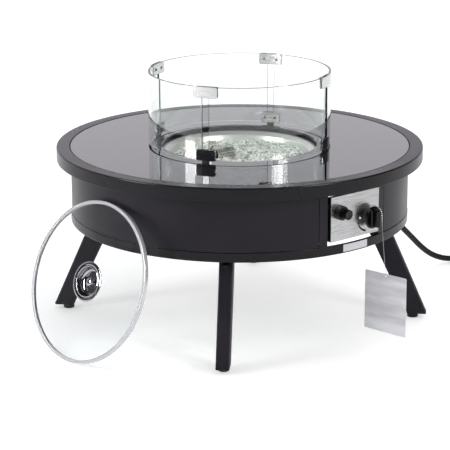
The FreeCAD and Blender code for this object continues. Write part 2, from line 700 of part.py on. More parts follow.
def make_valve():
    across, height = knobAcross, knobHeight
    back = plateDistance - valveFace
    body = block("valve_block", d.valveWidth, d.valveDepth, d.valveWidth, x=across, y=-back,
                 z=height - d.valveWidth / 2)
    flange = block("valve_flange", d.valveFlange, valveFace - d.plateSheet, 24, x=across,
                   y=-(plateDistance - d.plateSheet), z=height - 12)
    middle = back - d.valveDepth / 2
    inlet = cross_rod("valve_inlet", d.fittingRadius, 9, across + d.valveWidth / 2 - 1, -middle, height)
    outlet = cross_rod("valve_outlet", 6.5, 12, across - d.valveWidth / 2 - 11, -middle, height)
    bore = peg("valve_bore", d.stemRadius + d.stemFit, -(valveFace + 18), 30, across, height)
    holes = [peg("valve_screw_hole_" + side, d.screwRadius + 0.3, -8, 10,
                 across + sign * d.screwSpacing / 2, height) for side, sign in (("left", -1), ("right", 1))]
    valve = cut("valve_cut", fused("valve_union", body, flange, inlet, outlet), bore, *holes)
    keep(seat(valve, azimuth=d.controlAzimuth), "gas_valve")
    screws = []
    for side, sign in (("left", -1), ("right", 1)):
        place = across + sign * d.screwSpacing / 2
        screws.append(peg("valve_screw_head_" + side, d.screwHead, 0, 2.2, place, height))
        screws.append(peg("valve_screw_shank_" + side, d.screwRadius, -valveFace, valveFace + 0.5,
                          place, height))
    keep(seat(fused("valve_screw_set", *screws), azimuth=d.controlAzimuth), "valve_screws")


def cross_rod(name, radius, length, start, y, z):
    """A round bar along X, from start on, in the control plate's own frame."""
    rod = doc.addObject("Part::Cylinder", name)
    bind(rod, Radius=radius, Height=length)
    rod.setExpression("Placement", "placement(vector(%s; %s; %s); rotation(vector(0; 1; 0); 90))" % (
        text(start), text(y), text(z)))
    return rod


# Fire bowl


def make_pan():
    outer = collarInner - 0.6
    flange = outer - d.panFlange
    slope = flange - d.panSlopeReach
    sheet = d.panSheet
    body = revolved("pan_body", [
        (outer, panSeat), (outer, panSeat + sheet), (flange, panSeat + sheet),
        (slope, panSeat + sheet - d.panSlopeDrop), (d.panFloorRadius, panFloor + sheet),
        (d.panHole, panFloor + sheet), (d.panHole, panFloor), (d.panFloorRadius + sheet, panFloor),
        (slope + sheet, panSeat - d.panSlopeDrop), (flange + 0.4, panSeat)])
    holes = [hood_rod("pan_hole_" + name, d.pilotRod + 0.3, 10, side, panFloor - 5)
             for name, side in (("spark", -1), ("flame", 1))]
    keep(cut("pan_cut", body, *holes), "burner_pan")


def hood_rod(name, radius, height, side, bottom):
    """An upright rod beside the hood's near end, on either side of its middle line."""
    along = -(d.hoodLength / 2 + d.pilotGap)
    across = side * d.pilotApart / 2
    x = d.hoodX + along * cosine(d.hoodTurn) - across * sine(d.hoodTurn)
    y = d.hoodY + along * sine(d.hoodTurn) + across * cosine(d.hoodTurn)
    return stand(cylinder(name, radius, height), x, y, bottom, 0)


def make_burner():
    tube = d.burnerTube
    ring = doc.addObject("Part::Torus", "burner_torus")
    bind(ring, Radius1=d.burnerRadius, Radius2=tube)
    seat(ring, z=burnerHeight)
    arm = cylinder("burner_arm", tube - 1, 2 * d.burnerRadius, azimuth=-45, y=d.burnerRadius,
                   z=burnerHeight, lean=90)
    hub = cylinder("burner_hub", 11, 14, z=burnerHeight - 9)
    bottom = panFloor - d.mixerLength
    throat = panFloor - 13
    stem = cylinder("burner_stem", 6, burnerHeight - 5 - throat - 1, z=throat + 1)
    ports = []
    count = 20
    for i in range(count):
        ports.append(cylinder("burner_port_%02d" % i, d.portRadius, 8, azimuth=360.0 * (i + 0.5) / count,
                              y=-d.burnerRadius, z=burnerHeight))
    keep(cut("burner_cut", fused("burner_union", ring, arm, hub, stem), *ports), "burner_ring")
    mixer = revolved("mixer_body", [
        (6.1, throat), (6.1, panFloor), (18, panFloor), (18, panFloor - 5), (10, panFloor - 5),
        (10, bottom), (4.1, bottom), (4.1, throat - 7), (8, throat - 5), (8, throat)])
    slots = [cylinder("mixer_slot_" + side, 3, 40, azimuth=azimuth, y=20, z=throat - 3, lean=90)
             for side, azimuth in legAxes[:2]]
    keep(cut("mixer_cut", mixer, *slots), "air_mixer")


def make_fire_glass():
    """Bed of glass chips: fills the pan round the burner, the hub and the pilot hood."""
    outer = collarInner - 0.6
    slope = outer - d.panFlange - d.panSlopeReach
    floor = panFloor + d.panSheet + 0.2
    wall_top = panSeat + d.panSheet - d.panSlopeDrop
    rise = (bedEdge - panFloor) / (wall_top - panFloor)
    reach = d.panFloorRadius + (slope - d.panFloorRadius) * rise - 0.8
    bed = revolved("bed_body", [
        (d.panHole + 1, floor), (d.panFloorRadius - 0.6, floor), (reach, bedEdge), (110, bedCrown - 1),
        (40, bedCrown), (d.panHole + 1, bedCrown)])
    ring = doc.addObject("Part::Torus", "bed_ring_space")
    bind(ring, Radius1=d.burnerRadius, Radius2=d.burnerTube + 0.4)
    seat(ring, z=burnerHeight)
    arm = cylinder("bed_arm_space", d.burnerTube - 0.6, 2 * d.burnerRadius, azimuth=-45,
                   y=d.burnerRadius, z=burnerHeight, lean=90)
    past = d.pilotGap + d.pilotRod + 1
    beside = d.pilotApart / 2 + d.pilotRod + 1
    hood = block("bed_hood_box", d.hoodLength + 2, 2 * d.hoodRadius + 2, 60, y=-d.hoodRadius - 1,
                 z=panFloor)
    rods = block("bed_rod_box", past + 1, 2 * beside, 60, x=-(d.hoodLength + past) / 2, y=-beside,
                 z=panFloor)
    space = stand(fused("bed_hood_space", hood, rods), d.hoodX, d.hoodY, 0, d.hoodTurn)
    keep(cut("bed_cut", bed, ring, arm, space), "fire_glass")


def make_pilot():
    """Perforated hood that stands on the pan over the spark electrode and the flame sensor."""
    radius, sheet, length = d.hoodRadius, d.hoodSheet, d.hoodLength
    floor = panFloor + d.panSheet
    centre = hoodCrown - radius
    outside = long_rod("hood_outside", radius, length, centre)
    skirt = block("hood_skirt", length, 2 * radius, centre - floor, y=-radius, z=floor)
    inside = long_rod("hood_inside", radius - sheet, length + 2, centre)
    hollow = block("hood_hollow", length + 2, 2 * (radius - sheet), centre - floor + 1, y=sheet - radius,
                   z=floor - 1)
    holes = []
    for row, lift in enumerate((25, 60, 120, 155)):
        for i in range(7):
            name = "hood_hole_%d_%d" % (row, i)
            x = (i - 3) * 6.6 + (3.3 if row % 2 else 0)
            hole = doc.addObject("Part::Cylinder", name)
            bind(hole, Radius=d.hoodHole, Height=8)
            reach = radius - 4
            seat(hole, x=x, y=-reach * cosine(lift), z=centre + reach * sine(lift), lean=90 - lift)
            if abs(x) < 22:
                holes.append(hole)
            else:
                doc.removeObject(name)
    hood = cut("hood_cut", fused("hood_union", outside, skirt), inside, hollow, *holes)
    keep(stand(hood, d.hoodX, d.hoodY, 0, d.hoodTurn), "pilot_hood")
    solid_piece("spark_electrode", pilot_rod(-1, 1.1, 7))


def long_rod(name, radius, length, height):
    """A round bar along X through the origin's upright axis."""
    return cross_rod(name, radius, length, -length / 2, 0, height)


# Wind guard


def guard_sheet(name, outer, inner, start, end, bottom, top):
    return curved_sheet(name, outer, inner, start, end, bottom, top)


def make_guard():
    inner = d.guardRadius - d.guardGlass
    gap = arc_angle(d.guardGap, d.guardRadius)
    for index, (side, azimuth) in enumerate(legAxes):
        start = d.guardAzimuth + 90 * index
        pane = guard_sheet("pane_" + side, d.guardRadius, inner, start + gap, start + 90 - gap,
                           guardBottom, guardTop)
        keep(pane, "guard_pane_" + side)
    upper, lower, backs, screws, feet = [], [], [], [], []
    for index, (side, turn) in enumerate(legAxes):
        azimuth = d.guardAzimuth + 90 * index
        for level, width, bottom, group in (
                ("upper", d.upperClipWidth, guardTop - d.clipHeight + 1, upper),
                ("lower", d.lowerClipWidth, lowerClipBottom, lower)):
            name = "%s_clip_%s" % (level, side)
            group.append(clip_front(name, azimuth, width, bottom))
            backs.append(clip_back(name + "_back", azimuth, width, bottom))
            screws.extend(clip_screws(name, azimuth, width, bottom))
        feet.append(guard_foot(side, azimuth))
    keep(fused("upper_clip_set", *upper), "upper_clips")
    keep(fused("lower_clip_set", *lower, *feet), "lower_clips")
    keep(fused("clip_back_set", *backs, *screws), "clip_backs")


def clip_front(name, azimuth, width, bottom):
    """Outer plate of a clip, with the block that fills the gap between two panes."""
    inner = d.guardRadius + d.clipFit
    half = arc_angle(width, inner)
    plate = guard_sheet(name, inner + d.clipSheet, inner, azimuth - half, azimuth + half, bottom,
                        bottom + d.clipHeight)
    spacer_half = arc_angle(d.guardGap - 3, inner)
    spacer = guard_sheet(name + "_spacer", inner + 0.5, d.guardRadius - d.guardGlass - d.clipFit,
                         azimuth - spacer_half, azimuth + spacer_half, bottom + 2, bottom + d.clipHeight - 2)
    return fused(name + "_front", plate, spacer)


def clip_back(name, azimuth, width, bottom):
    outer = d.guardRadius - d.guardGlass - d.clipFit
    half = arc_angle(width, outer)
    plate = guard_sheet(name, outer, outer - d.clipSheet, azimuth - half, azimuth + half, bottom,
                        bottom + d.clipHeight)
    return plate


def clip_screws(name, azimuth, width, bottom):
    """Two domed screw heads on the inner plate."""
    screws = []
    inner = d.guardRadius - d.guardGlass - d.clipFit - d.clipSheet
    for side, sign in (("a", -1), ("b", 1)):
        turn = azimuth + sign * arc_angle(width * 0.54, inner)
        head = doc.addObject("Part::Cone", "%s_screw_%s" % (name, side))
        bind(head, Radius1=3.4, Radius2=2.2, Height=2)
        screws.append(seat(head, azimuth=turn, y=-(inner + 0.05), z=bottom + d.clipHeight / 2, lean=-90))
    return screws


def guard_foot(side, azimuth):
    """Post under a lower clip that stands on the glass top."""
    middle = d.guardRadius - d.guardGlass / 2
    bottom = glassTop + d.guardRest
    top = lowerClipBottom
    return block("guard_foot_" + side, d.footWidth, 9, top - bottom, azimuth=azimuth, y=-middle - 4.5,
                 z=bottom)


# Lid that leans on the apron


def lid_place(obj):
    """Stand the lid on the floor with its top edge against the apron."""
    tilt = d.lidTilt
    half = d.bandDepth / 2
    out = apronRadius + d.lidGap + d.lidRadius * sine(tilt) + half * cosine(tilt)
    up = d.lidRadius * cosine(tilt) + half * sine(tilt)
    return seat(obj, azimuth=d.lidAzimuth, x=d.lidAcross, y=-out, z=up, lean=90 - tilt)


def make_lid():
    """Glass disc in a steel band, with a cup let into its middle and a knob in the cup."""
    half = d.lidGlass / 2
    glass = d.lidRadius - d.bandSheet - 0.1
    hole = d.cupMouth + d.cupSheet + 0.5
    disc = revolved("lid_disc", [
        (hole, -half), (glass - 0.5, -half), (glass, -half + 0.5), (glass, half - 0.5), (glass - 0.5, half),
        (hole, half)])
    keep(lid_place(disc), "lid_glass")
    deep = d.bandDepth / 2
    lip = d.lidRadius - d.bandLip
    inner = d.lidRadius - d.bandSheet
    seat_half = half + 0.1
    band = revolved("lid_band_body", [
        (d.lidRadius, 0.8 - deep), (d.lidRadius, deep - 0.8), (d.lidRadius - 0.8, deep), (lip, deep - 0.8),
        (lip, seat_half), (inner, seat_half), (inner, -seat_half), (lip, -seat_half), (lip, 0.8 - deep),
        (d.lidRadius - 0.8, -deep)])
    keep(lid_place(band), "lid_band")
    make_lid_cup(half)


def make_lid_cup(half):
    """Cup with a flange on the glass, and the small round knob that is screwed to its floor."""
    edge, mouth, sheet = d.cupRadius, d.cupMouth, d.cupSheet
    flange = half + 0.1
    floor = half - d.cupDepth
    cup = revolved("lid_cup_body", [
        (2.6, floor - sheet), (mouth - 5, floor - sheet), (mouth - 0.6, floor + 3), (mouth + sheet, half - 1),
        (mouth + sheet, flange), (edge, flange), (edge, flange + 0.9), (edge - 0.9, flange + 1.9),
        (edge - 4.5, flange + 2.5), (mouth + 3, flange + 1.8), (mouth + 1, flange + 2.4),
        (mouth, flange + 1.6), (mouth - 1.8, floor + 3.6), (mouth - 5.6, floor), (2.6, floor)])
    keep(lid_place(cup), "lid_cup")
    wide = d.lidKnobRadius
    knob = revolved("lid_knob_body", [
        (0, floor - sheet - 2), (4.4, floor - sheet - 2), (4.4, floor - sheet - 0.1),
        (2.5, floor - sheet - 0.1), (2.5, floor + 0.1), (5, floor + 0.1), (4, floor + 3),
        (4.6, floor + 5.4), (wide - 1, floor + 7),
        (wide, floor + 8.4), (wide - 1, floor + 10), (wide - 4, floor + 11.2), (0, floor + 11.6)])
    keep(lid_place(knob), "lid_knob")


# Hang tag on its bead chain


def control_point(across, out, height):
    """A point in the table's frame from its place in front of the control plate."""
    azimuth = math.radians(float(d.controlAzimuth))
    x = float(out) * math.sin(azimuth) + float(across) * math.cos(azimuth)
    y = -float(out) * math.cos(azimuth) + float(across) * math.sin(azimuth)
    return FreeCAD.Vector(x, y, float(height))


def solid_piece(label, shape):
    feature = doc.addObject("Part::Feature", label + "_solid")
    feature.Shape = shape
    keep(feature, label)
    return feature


def rounded_route(points, first_share=0.45, last_share=0.45):
    """Straight runs joined by tangent arcs, each as large as its two runs allow; also gives the radii."""
    edges, radii = [], []
    start = points[0]
    last = len(points) - 2
    for i in range(1, last + 1):
        corner = points[i]
        to_corner, from_corner = corner - points[i - 1], points[i + 1] - corner
        reach = min(to_corner.Length * (first_share if i == 1 else 0.45),
                    from_corner.Length * (last_share if i == last else 0.45))
        half_turn = to_corner.getAngle(from_corner) / 2
        radii.append(reach / math.tan(half_turn))
        enter = corner - to_corner.normalize() * reach
        leave = corner + from_corner.normalize() * reach
        chord_middle = (enter + leave) / 2
        sagitta = reach * math.tan(half_turn / 2) * math.cos(half_turn)
        middle = chord_middle + (corner - chord_middle).normalize() * sagitta
        edges.append(Part.LineSegment(start, enter).toShape())
        edges.append(Part.Arc(enter, middle, leave).toShape())
        start = leave
    edges.append(Part.LineSegment(start, points[-1]).toShape())
    return Part.Wire(edges), radii


def tube(route, radius):
    """A round bar swept along a route, with its volume compared with section times length."""
    first = route.Edges[0]
    along = first.tangentAt(first.FirstParameter)
    section = Part.Wire([Part.makeCircle(float(radius), first.valueAt(first.FirstParameter), along)])
    solid = route.makePipeShell([section], True, False)
    expected = math.pi * float(radius) ** 2 * route.Length
    if abs(solid.Volume / expected - 1) > 0.01:
        raise ValueError("tube volume is off: %g for %g" % (solid.Volume, expected))
    return solid


def make_tag():
    """Blank card that hangs on a bead chain from the knob."""
    hole = control_point(tagAcross, plateDistance + d.tagOut, tagTop - 4.5)
    card = Part.makeBox(float(d.tagWidth), float(d.tagSheet), float(d.tagHeight),
                        FreeCAD.Vector(-float(d.tagWidth) / 2, -float(d.tagSheet) / 2, -float(d.tagHeight)))
    corners = [edge for edge in card.Edges if abs(edge.tangentAt(0).y) > 0.9]
    card = card.makeFillet(3, corners)
    card = card.cut(Part.makeCylinder(2.2, 4, FreeCAD.Vector(0, -2, -4.5), FreeCAD.Vector(0, 1, 0)))
    turn = FreeCAD.Rotation(FreeCAD.Vector(0, 0, 1), float(d.tagTurn) - 90)
    card.Placement = FreeCAD.Placement(FreeCAD.Vector(hole.x, hole.y, float(tagTop)), turn)
    solid_piece("hang_tag", card)
    loop, _ = rounded_route(loop_points())
    solid_piece("chain_loop", bead_chain(loop))
    drop, _ = rounded_route(drop_points(hole, turn.multVec(FreeCAD.Vector(0, -1, 0))))
    solid_piece("tag_chain", bead_chain(drop))


def knob_point(across, out, up):
    """A point near the knob: sideways and upwards from its axis, and out from the plate's face."""
    return control_point(knobAcross + across, plateDistance + out, knobHeight + up)


def loop_points():
    """The chain's loop round the knob's hub, behind the skirt, and up over the skirt's edge."""
    skirt_end = float(d.hubStart + d.hubLength + d.skirtThickness)
    over = float(d.skirtRadius) + 2
    return [knob_point(*place) for place in (
        (-6, 2.6, 13), (-13.5, 2.6, 5), (-12, 2.6, -8), (0, 2.6, -14), (12, 2.6, -8), (14, 2.6, 3),
        (10, 2.8, 15), (5.5, 5, over), (2.7, skirt_end - 3, over))]


def drop_points(hole, front):
    """The hanging part: from the skirt's edge over the grip's face and down into the tag's hole."""
    skirt_end = float(d.hubStart + d.hubLength + d.skirtThickness)
    face = skirt_end + float(d.gripHeight) + 3.4
    over = float(d.skirtRadius) + 2
    return [knob_point(2.6, skirt_end - 0.2, over), knob_point(2.3, face, over - 2.3),
            knob_point(2.5, face + 0.6, -14), hole + front * 2.2 + FreeCAD.Vector(0, 0, 9),
            hole + front * 1.9 + FreeCAD.Vector(0, 0, 2.6), hole + FreeCAD.Vector(0, 0, 0.7)]


def bead_chain(route):
    """Beads a fixed pitch apart along the route, with a short wire from each to the next."""
    count = int(route.Length / float(d.beadPitch))
    places = route.discretize(Number=count + 1)
    beads, wires = [], []
    for i, place in enumerate(places):
        along = places[min(i + 1, count)] - places[max(i - 1, 0)]
        side = along.cross(FreeCAD.Vector(0.31, 0.22, 0.93))
        bead = Part.makeSphere(float(d.beadRadius))
        bead.Placement = FreeCAD.Placement(place, FreeCAD.Rotation(side, along, side.cross(along), "YXZ"))
        beads.append(bead)
    for place, after in zip(places, places[1:]):
        wires.append(Part.makeCylinder(float(d.chainWire), (after - place).Length, place, after - place))
    return beads[0].fuse(beads[1:] + wires)


# Gas line

fittingStart = knobAcross + d.valveWidth / 2 + 8


def route_points(rows):
    return [FreeCAD.Vector(*row) for row in rows]


def make_inlet_fitting():
    """Hose fitting on the valve's inlet, with a hexagonal nut."""
    middle = plateDistance - valveFace - d.valveDepth / 2
    rod = cross_rod("fitting_barrel", d.fittingRadius - 0.5, 12, fittingStart, -middle, knobHeight)
    nut = doc.addObject("Part::Prism", "fitting_nut")
    nut.Polygon = 6
    bind(nut, Circumradius=d.fittingRadius + 0.5, Height=5)
    nut.setExpression("Placement", "placement(vector(%s; %s; %s); rotation(vector(0; 1; 0); 90))" % (
        text(fittingStart + 1), text(-middle), text(knobHeight)))
    keep(seat(fused("fitting_union", rod, nut), azimuth=d.controlAzimuth), "inlet_fitting")


def fitting_end():
    return control_point(fittingStart + 12, plateDistance - valveFace - d.valveDepth / 2, knobHeight)


controlTurn = math.radians(float(d.controlAzimuth))
hoseExit = FreeCAD.Vector(281, 214, 219)
clipStart = FreeCAD.Vector(267, 203, 225)


def make_inner_hose():
    """The held part of the hose: from the valve's fitting round the inside, through the clip."""
    start = fitting_end()
    points = [start, start + FreeCAD.Vector(math.cos(controlTurn), math.sin(controlTurn), 0) * 28]
    points += route_points([
        (335, -85, 281), (334, 0, 270), (296, 66, 263), (244.5, 135, 250), (242, 165, 241)])
    points += [clipStart + (clipStart - hoseExit).normalize() * 18, hoseExit]
    route, radii = rounded_route(points, first_share=0.9)
    print("inner hose radii", [round(radius) for radius in radii], "length", round(route.Length))
    solid_piece("inner_hose", tube(route, d.hoseRadius))


def make_hose_clip():
    """Loop clip that holds the hose under the bottom ring's flange."""
    along = hoseExit - clipStart
    reach = along.Length
    outer = Part.makeCylinder(float(d.hoseRadius) + 2, reach, clipStart, along)
    bore = Part.makeCylinder(float(d.hoseRadius) + 0.1, reach + 8, clipStart - along.normalize() * 4, along)
    middle = (clipStart + hoseExit) / 2
    top = float(apronBottom)
    azimuth = math.degrees(math.atan2(middle.x, -middle.y))
    tab = Part.makeBox(14, 12, top - middle.z - 2, FreeCAD.Vector(-7, -4, 0))
    tab.Placement = FreeCAD.Placement(FreeCAD.Vector(middle.x, middle.y, middle.z + 2),
                                      FreeCAD.Rotation(FreeCAD.Vector(0, 0, 1), azimuth))
    solid_piece("hose_clip", outer.fuse(tab).cut(bore))


def coil_point(turns):
    """Centre line of the coil after some turns: in, up a layer in the half turn after 1, and out again."""
    pitch = float(d.coilPitch)
    inwards = turns if turns < 1.25 else 2.5 - turns
    radius = float(d.coilRadius) - pitch * inwards
    climb = min(max((turns - 1) / 0.5, 0), 1)
    height = float(d.hoseRadius) + pitch * climb * climb * (3 - 2 * climb)
    angle = math.radians(float(d.coilStart) - 360 * turns)
    x = float(d.coilX) + radius * math.cos(angle)
    y = float(d.coilY) + radius * math.sin(angle)
    return FreeCAD.Vector(x, y, height)


def coil_way(turns, step=0.0005):
    return (coil_point(turns + step) - coil_point(turns - step)).normalize()


def arc_between(start, corner, end):
    """The arc that leaves start towards the corner and comes from the corner at the end."""
    half_turn = (corner - start).getAngle(end - corner) / 2
    if half_turn < 0.0005:
        return Part.LineSegment(start, end).toShape()
    chord_middle = (start + end) / 2
    sagitta = (corner - start).Length * math.tan(half_turn / 2) * math.cos(half_turn)
    return Part.Arc(start, chord_middle + (corner - chord_middle).normalize() * sagitta, end).toShape()


def biarc(start, start_way, end, end_way):
    """Two arcs that meet smoothly and keep the way of the line at both ends."""
    span, both = end - start, start_way + end_way
    spread = 2 * (1 - start_way.dot(end_way))
    reach = (math.sqrt(span.dot(both) ** 2 + spread * span.dot(span)) - span.dot(both)) / spread
    middle = (start + end + (start_way - end_way) * reach) / 2
    first = arc_between(start, start + start_way * reach, middle)
    return [first, arc_between(middle, end - end_way * reach, end)]


def coil_route():
    quarters = int(coilTurns * 4)
    edges = []
    for i in range(quarters):
        a, b = i / 4, (i + 1) / 4
        edges += biarc(coil_point(a), coil_way(a), coil_point(b), coil_way(b))
    return Part.Wire(edges)


def coil_gap(route):
    """Least gap between turns of the coil, measured on points of its line."""
    points = route.discretize(Number=320)
    apart = int(len(points) / coilTurns / 2)
    least = min((a - b).Length for i, a in enumerate(points) for b in points[i + apart:])
    return least - 2 * float(d.hoseRadius)


coilTurns = 2.25


def make_supply_hose():
    """Free hose: down from the clip to the floor, into a coil of two layers, and on to the regulator."""
    coil = coil_route()
    print("coil gap", round(coil_gap(coil), 2), "length", round(coil.Length))
    solid_piece("hose_coil", tube(coil, d.hoseRadius))
    enter, enter_way = coil_point(0), coil_way(0)
    enter_way = FreeCAD.Vector(enter_way.x, enter_way.y, 0).normalize()
    points = [hoseExit, hoseExit + (hoseExit - clipStart).normalize() * 32] + route_points([
        (334, 263, 175), (367, 301, 129), (396, 339, 89), (421, 371, 54), (450, 401, 26),
        (487, 432, 9)]) + [enter - enter_way * 50, enter]
    route, radii = rounded_route(points)
    print("supply hose radii", [round(value) for value in radii], "length", round(route.Length))
    solid_piece("supply_hose", tube(route, d.hoseRadius))
    make_hose_tail()


def make_hose_tail():
    """From the coil's upper layer over its lower one to the regulator on the floor."""
    leave, way = coil_point(coilTurns), coil_way(coilTurns)
    turn = math.degrees(math.atan2(way.y, way.x))
    points = [leave]
    for bend, rise, run in ((0, 0.4, 34), (-7, 3.8, 36), (-15, 0, 34)):
        angle = math.radians(turn + bend)
        step = FreeCAD.Vector(math.cos(angle), math.sin(angle), 0) * run
        points.append(points[-1] + step + FreeCAD.Vector(0, 0, rise))
    route, radii = rounded_route(points)
    print("hose tail radii", [round(value) for value in radii], "length", round(route.Length))
    solid_piece("hose_tail", tube(route, d.hoseRadius))
    make_regulator(points[-1], (points[-1] - points[-2]).normalize())


def make_regulator(start, way):
    """Low-pressure regulator with its round housing, and the hand nut for the gas bottle."""
    level = FreeCAD.Vector(way.x, way.y, 0).normalize()
    turn = math.degrees(math.atan2(level.y, level.x))
    nipple = Part.makeCylinder(9, 16, FreeCAD.Vector(0, 0, 0), FreeCAD.Vector(1, 0, 0))
    body = Part.makeBox(30, 28, 28, FreeCAD.Vector(14, -14, -14))
    housing = Part.makeCylinder(32, 16, FreeCAD.Vector(29, 0, 12))
    lid = Part.makeCone(32, 22, 8, FreeCAD.Vector(29, 0, 28))
    vent = Part.makeCylinder(7, 6, FreeCAD.Vector(29, 0, 36))
    neck = Part.makeCylinder(10, 22, FreeCAD.Vector(43, 0, 0), FreeCAD.Vector(1, 0, 0))
    regulator = nipple.fuse([body, housing, lid, vent, neck]).removeSplitter()
    regulator.Placement = FreeCAD.Placement(start, FreeCAD.Rotation(FreeCAD.Vector(0, 0, 1), turn))
    solid_piece("regulator", regulator)
    radius = start.z
    nut = Part.makeCylinder(radius, 38, FreeCAD.Vector(65, 0, 0), FreeCAD.Vector(1, 0, 0))
    nut = nut.fuse(Part.makeCone(radius, 17, 8, FreeCAD.Vector(103, 0, 0), FreeCAD.Vector(1, 0, 0)))
    nut = nut.cut(Part.makeCylinder(12, 30, FreeCAD.Vector(85, 0, 0), FreeCAD.Vector(1, 0, 0)))
    for i in range(12):
        angle = math.radians(30 * i + 15)
        groove = Part.makeCylinder(2.2, 30, FreeCAD.Vector(69, (radius + 0.8) * math.cos(angle),
                                                           (radius + 0.8) * math.sin(angle)),
                                   FreeCAD.Vector(1, 0, 0))
        nut = nut.cut(groove)
    nut.Placement = regulator.Placement
    solid_piece("tank_connector", nut)


def make_gas_tube():
    """Rigid tube from the valve's outlet to the air mixer under the burner."""
    middle = plateDistance - valveFace - d.valveDepth / 2
    start = control_point(knobAcross - d.valveWidth / 2 - 11, middle, knobHeight)
    points = [start, control_point(-22, middle, knobHeight), control_point(-34, middle - 60, 300),
              control_point(-20, 190, 296), control_point(-6, 90, 291), FreeCAD.Vector(0, 0, 290),
              FreeCAD.Vector(0, 0, float(panFloor) - 28)]
    route, _ = rounded_route(points, first_share=0.75, last_share=0.75)
    solid_piece("gas_tube", tube(route, 4))


def pilot_foot(side):
    """Bottom centre of the spark electrode or the thermocouple."""
    turn = math.radians(float(d.hoodTurn))
    along = -float(d.hoodLength / 2 + d.pilotGap)
    across = side * float(d.pilotApart) / 2
    x = float(d.hoodX) + along * math.cos(turn) - across * math.sin(turn)
    y = float(d.hoodY) + along * math.sin(turn) + across * math.cos(turn)
    return FreeCAD.Vector(x, y, float(panFloor) - 20)


def pilot_rod(side, tip, bend):
    """An upright rod through the pan with a thinner tip that is bent over the hood's end."""
    foot = pilot_foot(side)
    turn = math.radians(float(d.hoodTurn))
    over = FreeCAD.Vector(math.cos(turn), math.sin(turn), 0)
    up = FreeCAD.Vector(0, 0, 1)
    rod = Part.makeCylinder(float(d.pilotRod), 48, foot)
    start = foot + up * 47
    route, _ = rounded_route([start, start + up * 13, start + up * 17 + over * bend], 0.8, 0.8)
    return rod.fuse(tube(route, tip))


def make_leads():
    """Wires from the electrode to the igniter and from the thermocouple to the valve."""
    barrel = control_point(igniterAcross, plateDistance - d.barrelDepth, igniterHeight)
    spark = pilot_foot(-1)
    wire = [spark, spark - FreeCAD.Vector(0, 0, 14), (spark * 0.6 + barrel * 0.4) - FreeCAD.Vector(0, 0, 22),
            (spark * 0.2 + barrel * 0.8) - FreeCAD.Vector(0, 0, 10),
            control_point(igniterAcross, 306, igniterHeight), barrel]
    route, _ = rounded_route(wire, first_share=0.9, last_share=0.9)
    solid_piece("ignition_lead", tube(route, 1.4))
    back = control_point(knobAcross, plateDistance - valveFace - d.valveDepth, knobHeight)
    flame = pilot_foot(1)
    wire = [flame, flame - FreeCAD.Vector(0, 0, 20), (flame * 0.6 + back * 0.4) + FreeCAD.Vector(0, 0, 4),
            control_point(knobAcross, 306, knobHeight), back]
    route, _ = rounded_route(wire, first_share=0.9, last_share=0.9)
    solid_piece("thermocouple", tube(route, 1.2).fuse(pilot_rod(1, 1.8, 4)))


def check_document():
    """Stop if an object failed to build or a piece is empty or not valid."""
    for obj in doc.Objects:
        if "Invalid" in obj.State or "Error" in obj.State:
            raise ValueError("%s failed: %s" % (obj.Label, obj.State))
    for label, obj in pieces.items():
        if obj.Shape.isNull() or not obj.Shape.isValid() or not obj.Shape.Solids:
            raise ValueError("%s has no valid shape" % label)


def write_pieces():
    os.makedirs("parts", exist_ok=True)
    for label, obj in pieces.items():
        obj.Shape.exportStep("parts/%s.step" % label)
        print("%-18s solids %2d volume %.0f" % (label, len(obj.Shape.Solids), obj.Shape.Volume))
    print(len(pieces), "pieces")


make_rim()
make_glass_top()
make_gasket()
make_top_frame()
make_panels()
make_control_frame()
make_bottom_ring()
make_label()
make_legs()
make_bottom_frame()
make_leg_bolts()
make_leg_ends()
make_frame_screws()
make_control_plate()
make_heat_shield()
make_igniter()
make_knob()
make_valve()
make_pan()
make_burner()
make_fire_glass()
make_pilot()
make_guard()
make_lid()
make_tag()
make_inlet_fitting()
make_inner_hose()
make_hose_clip()
make_supply_hose()
make_gas_tube()
make_leads()
doc.recompute()
check_document()
write_pieces()
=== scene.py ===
import math
import bpy
import numpy as np
from mathutils import Matrix


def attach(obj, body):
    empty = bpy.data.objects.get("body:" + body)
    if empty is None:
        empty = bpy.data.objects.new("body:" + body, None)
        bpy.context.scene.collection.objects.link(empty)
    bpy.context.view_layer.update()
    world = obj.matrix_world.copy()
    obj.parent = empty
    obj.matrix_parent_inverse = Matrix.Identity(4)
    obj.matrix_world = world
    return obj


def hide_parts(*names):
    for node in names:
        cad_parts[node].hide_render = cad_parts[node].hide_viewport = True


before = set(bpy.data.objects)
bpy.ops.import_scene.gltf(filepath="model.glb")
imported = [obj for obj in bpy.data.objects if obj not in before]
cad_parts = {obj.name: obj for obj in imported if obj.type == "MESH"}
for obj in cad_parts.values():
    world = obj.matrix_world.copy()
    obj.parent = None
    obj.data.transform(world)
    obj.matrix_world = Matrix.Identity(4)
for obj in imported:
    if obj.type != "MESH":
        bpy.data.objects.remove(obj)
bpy.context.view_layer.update()        # lengths below are millimetres, angles degrees, colours 0 to 255
mm = 0.001
rng = np.random.default_rng(7)
print("frame loaded:", len(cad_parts), "nodes")

# ---- used throughout


def addObject(name, data):
    obj = bpy.data.objects.new(name, data)
    bpy.context.scene.collection.objects.link(obj)
    return obj


def aboutZ(degrees):
    # turns (x, y) to (c x - s y, s x + c y) with the angle's cosine c and sine s
    s, c = math.sin(math.radians(degrees)), math.cos(math.radians(degrees))
    return np.array([[c, -s, 0], [s, c, 0], [0, 0, 1]])


# ---- camera

camera = dict(turn=4.945, distance=4278.08, height=1416.59, focal=1945.17, width=450,
              yaw=-0.007825, pitch=0.275375, roll=-0.002935, sensor=36, clip=60)


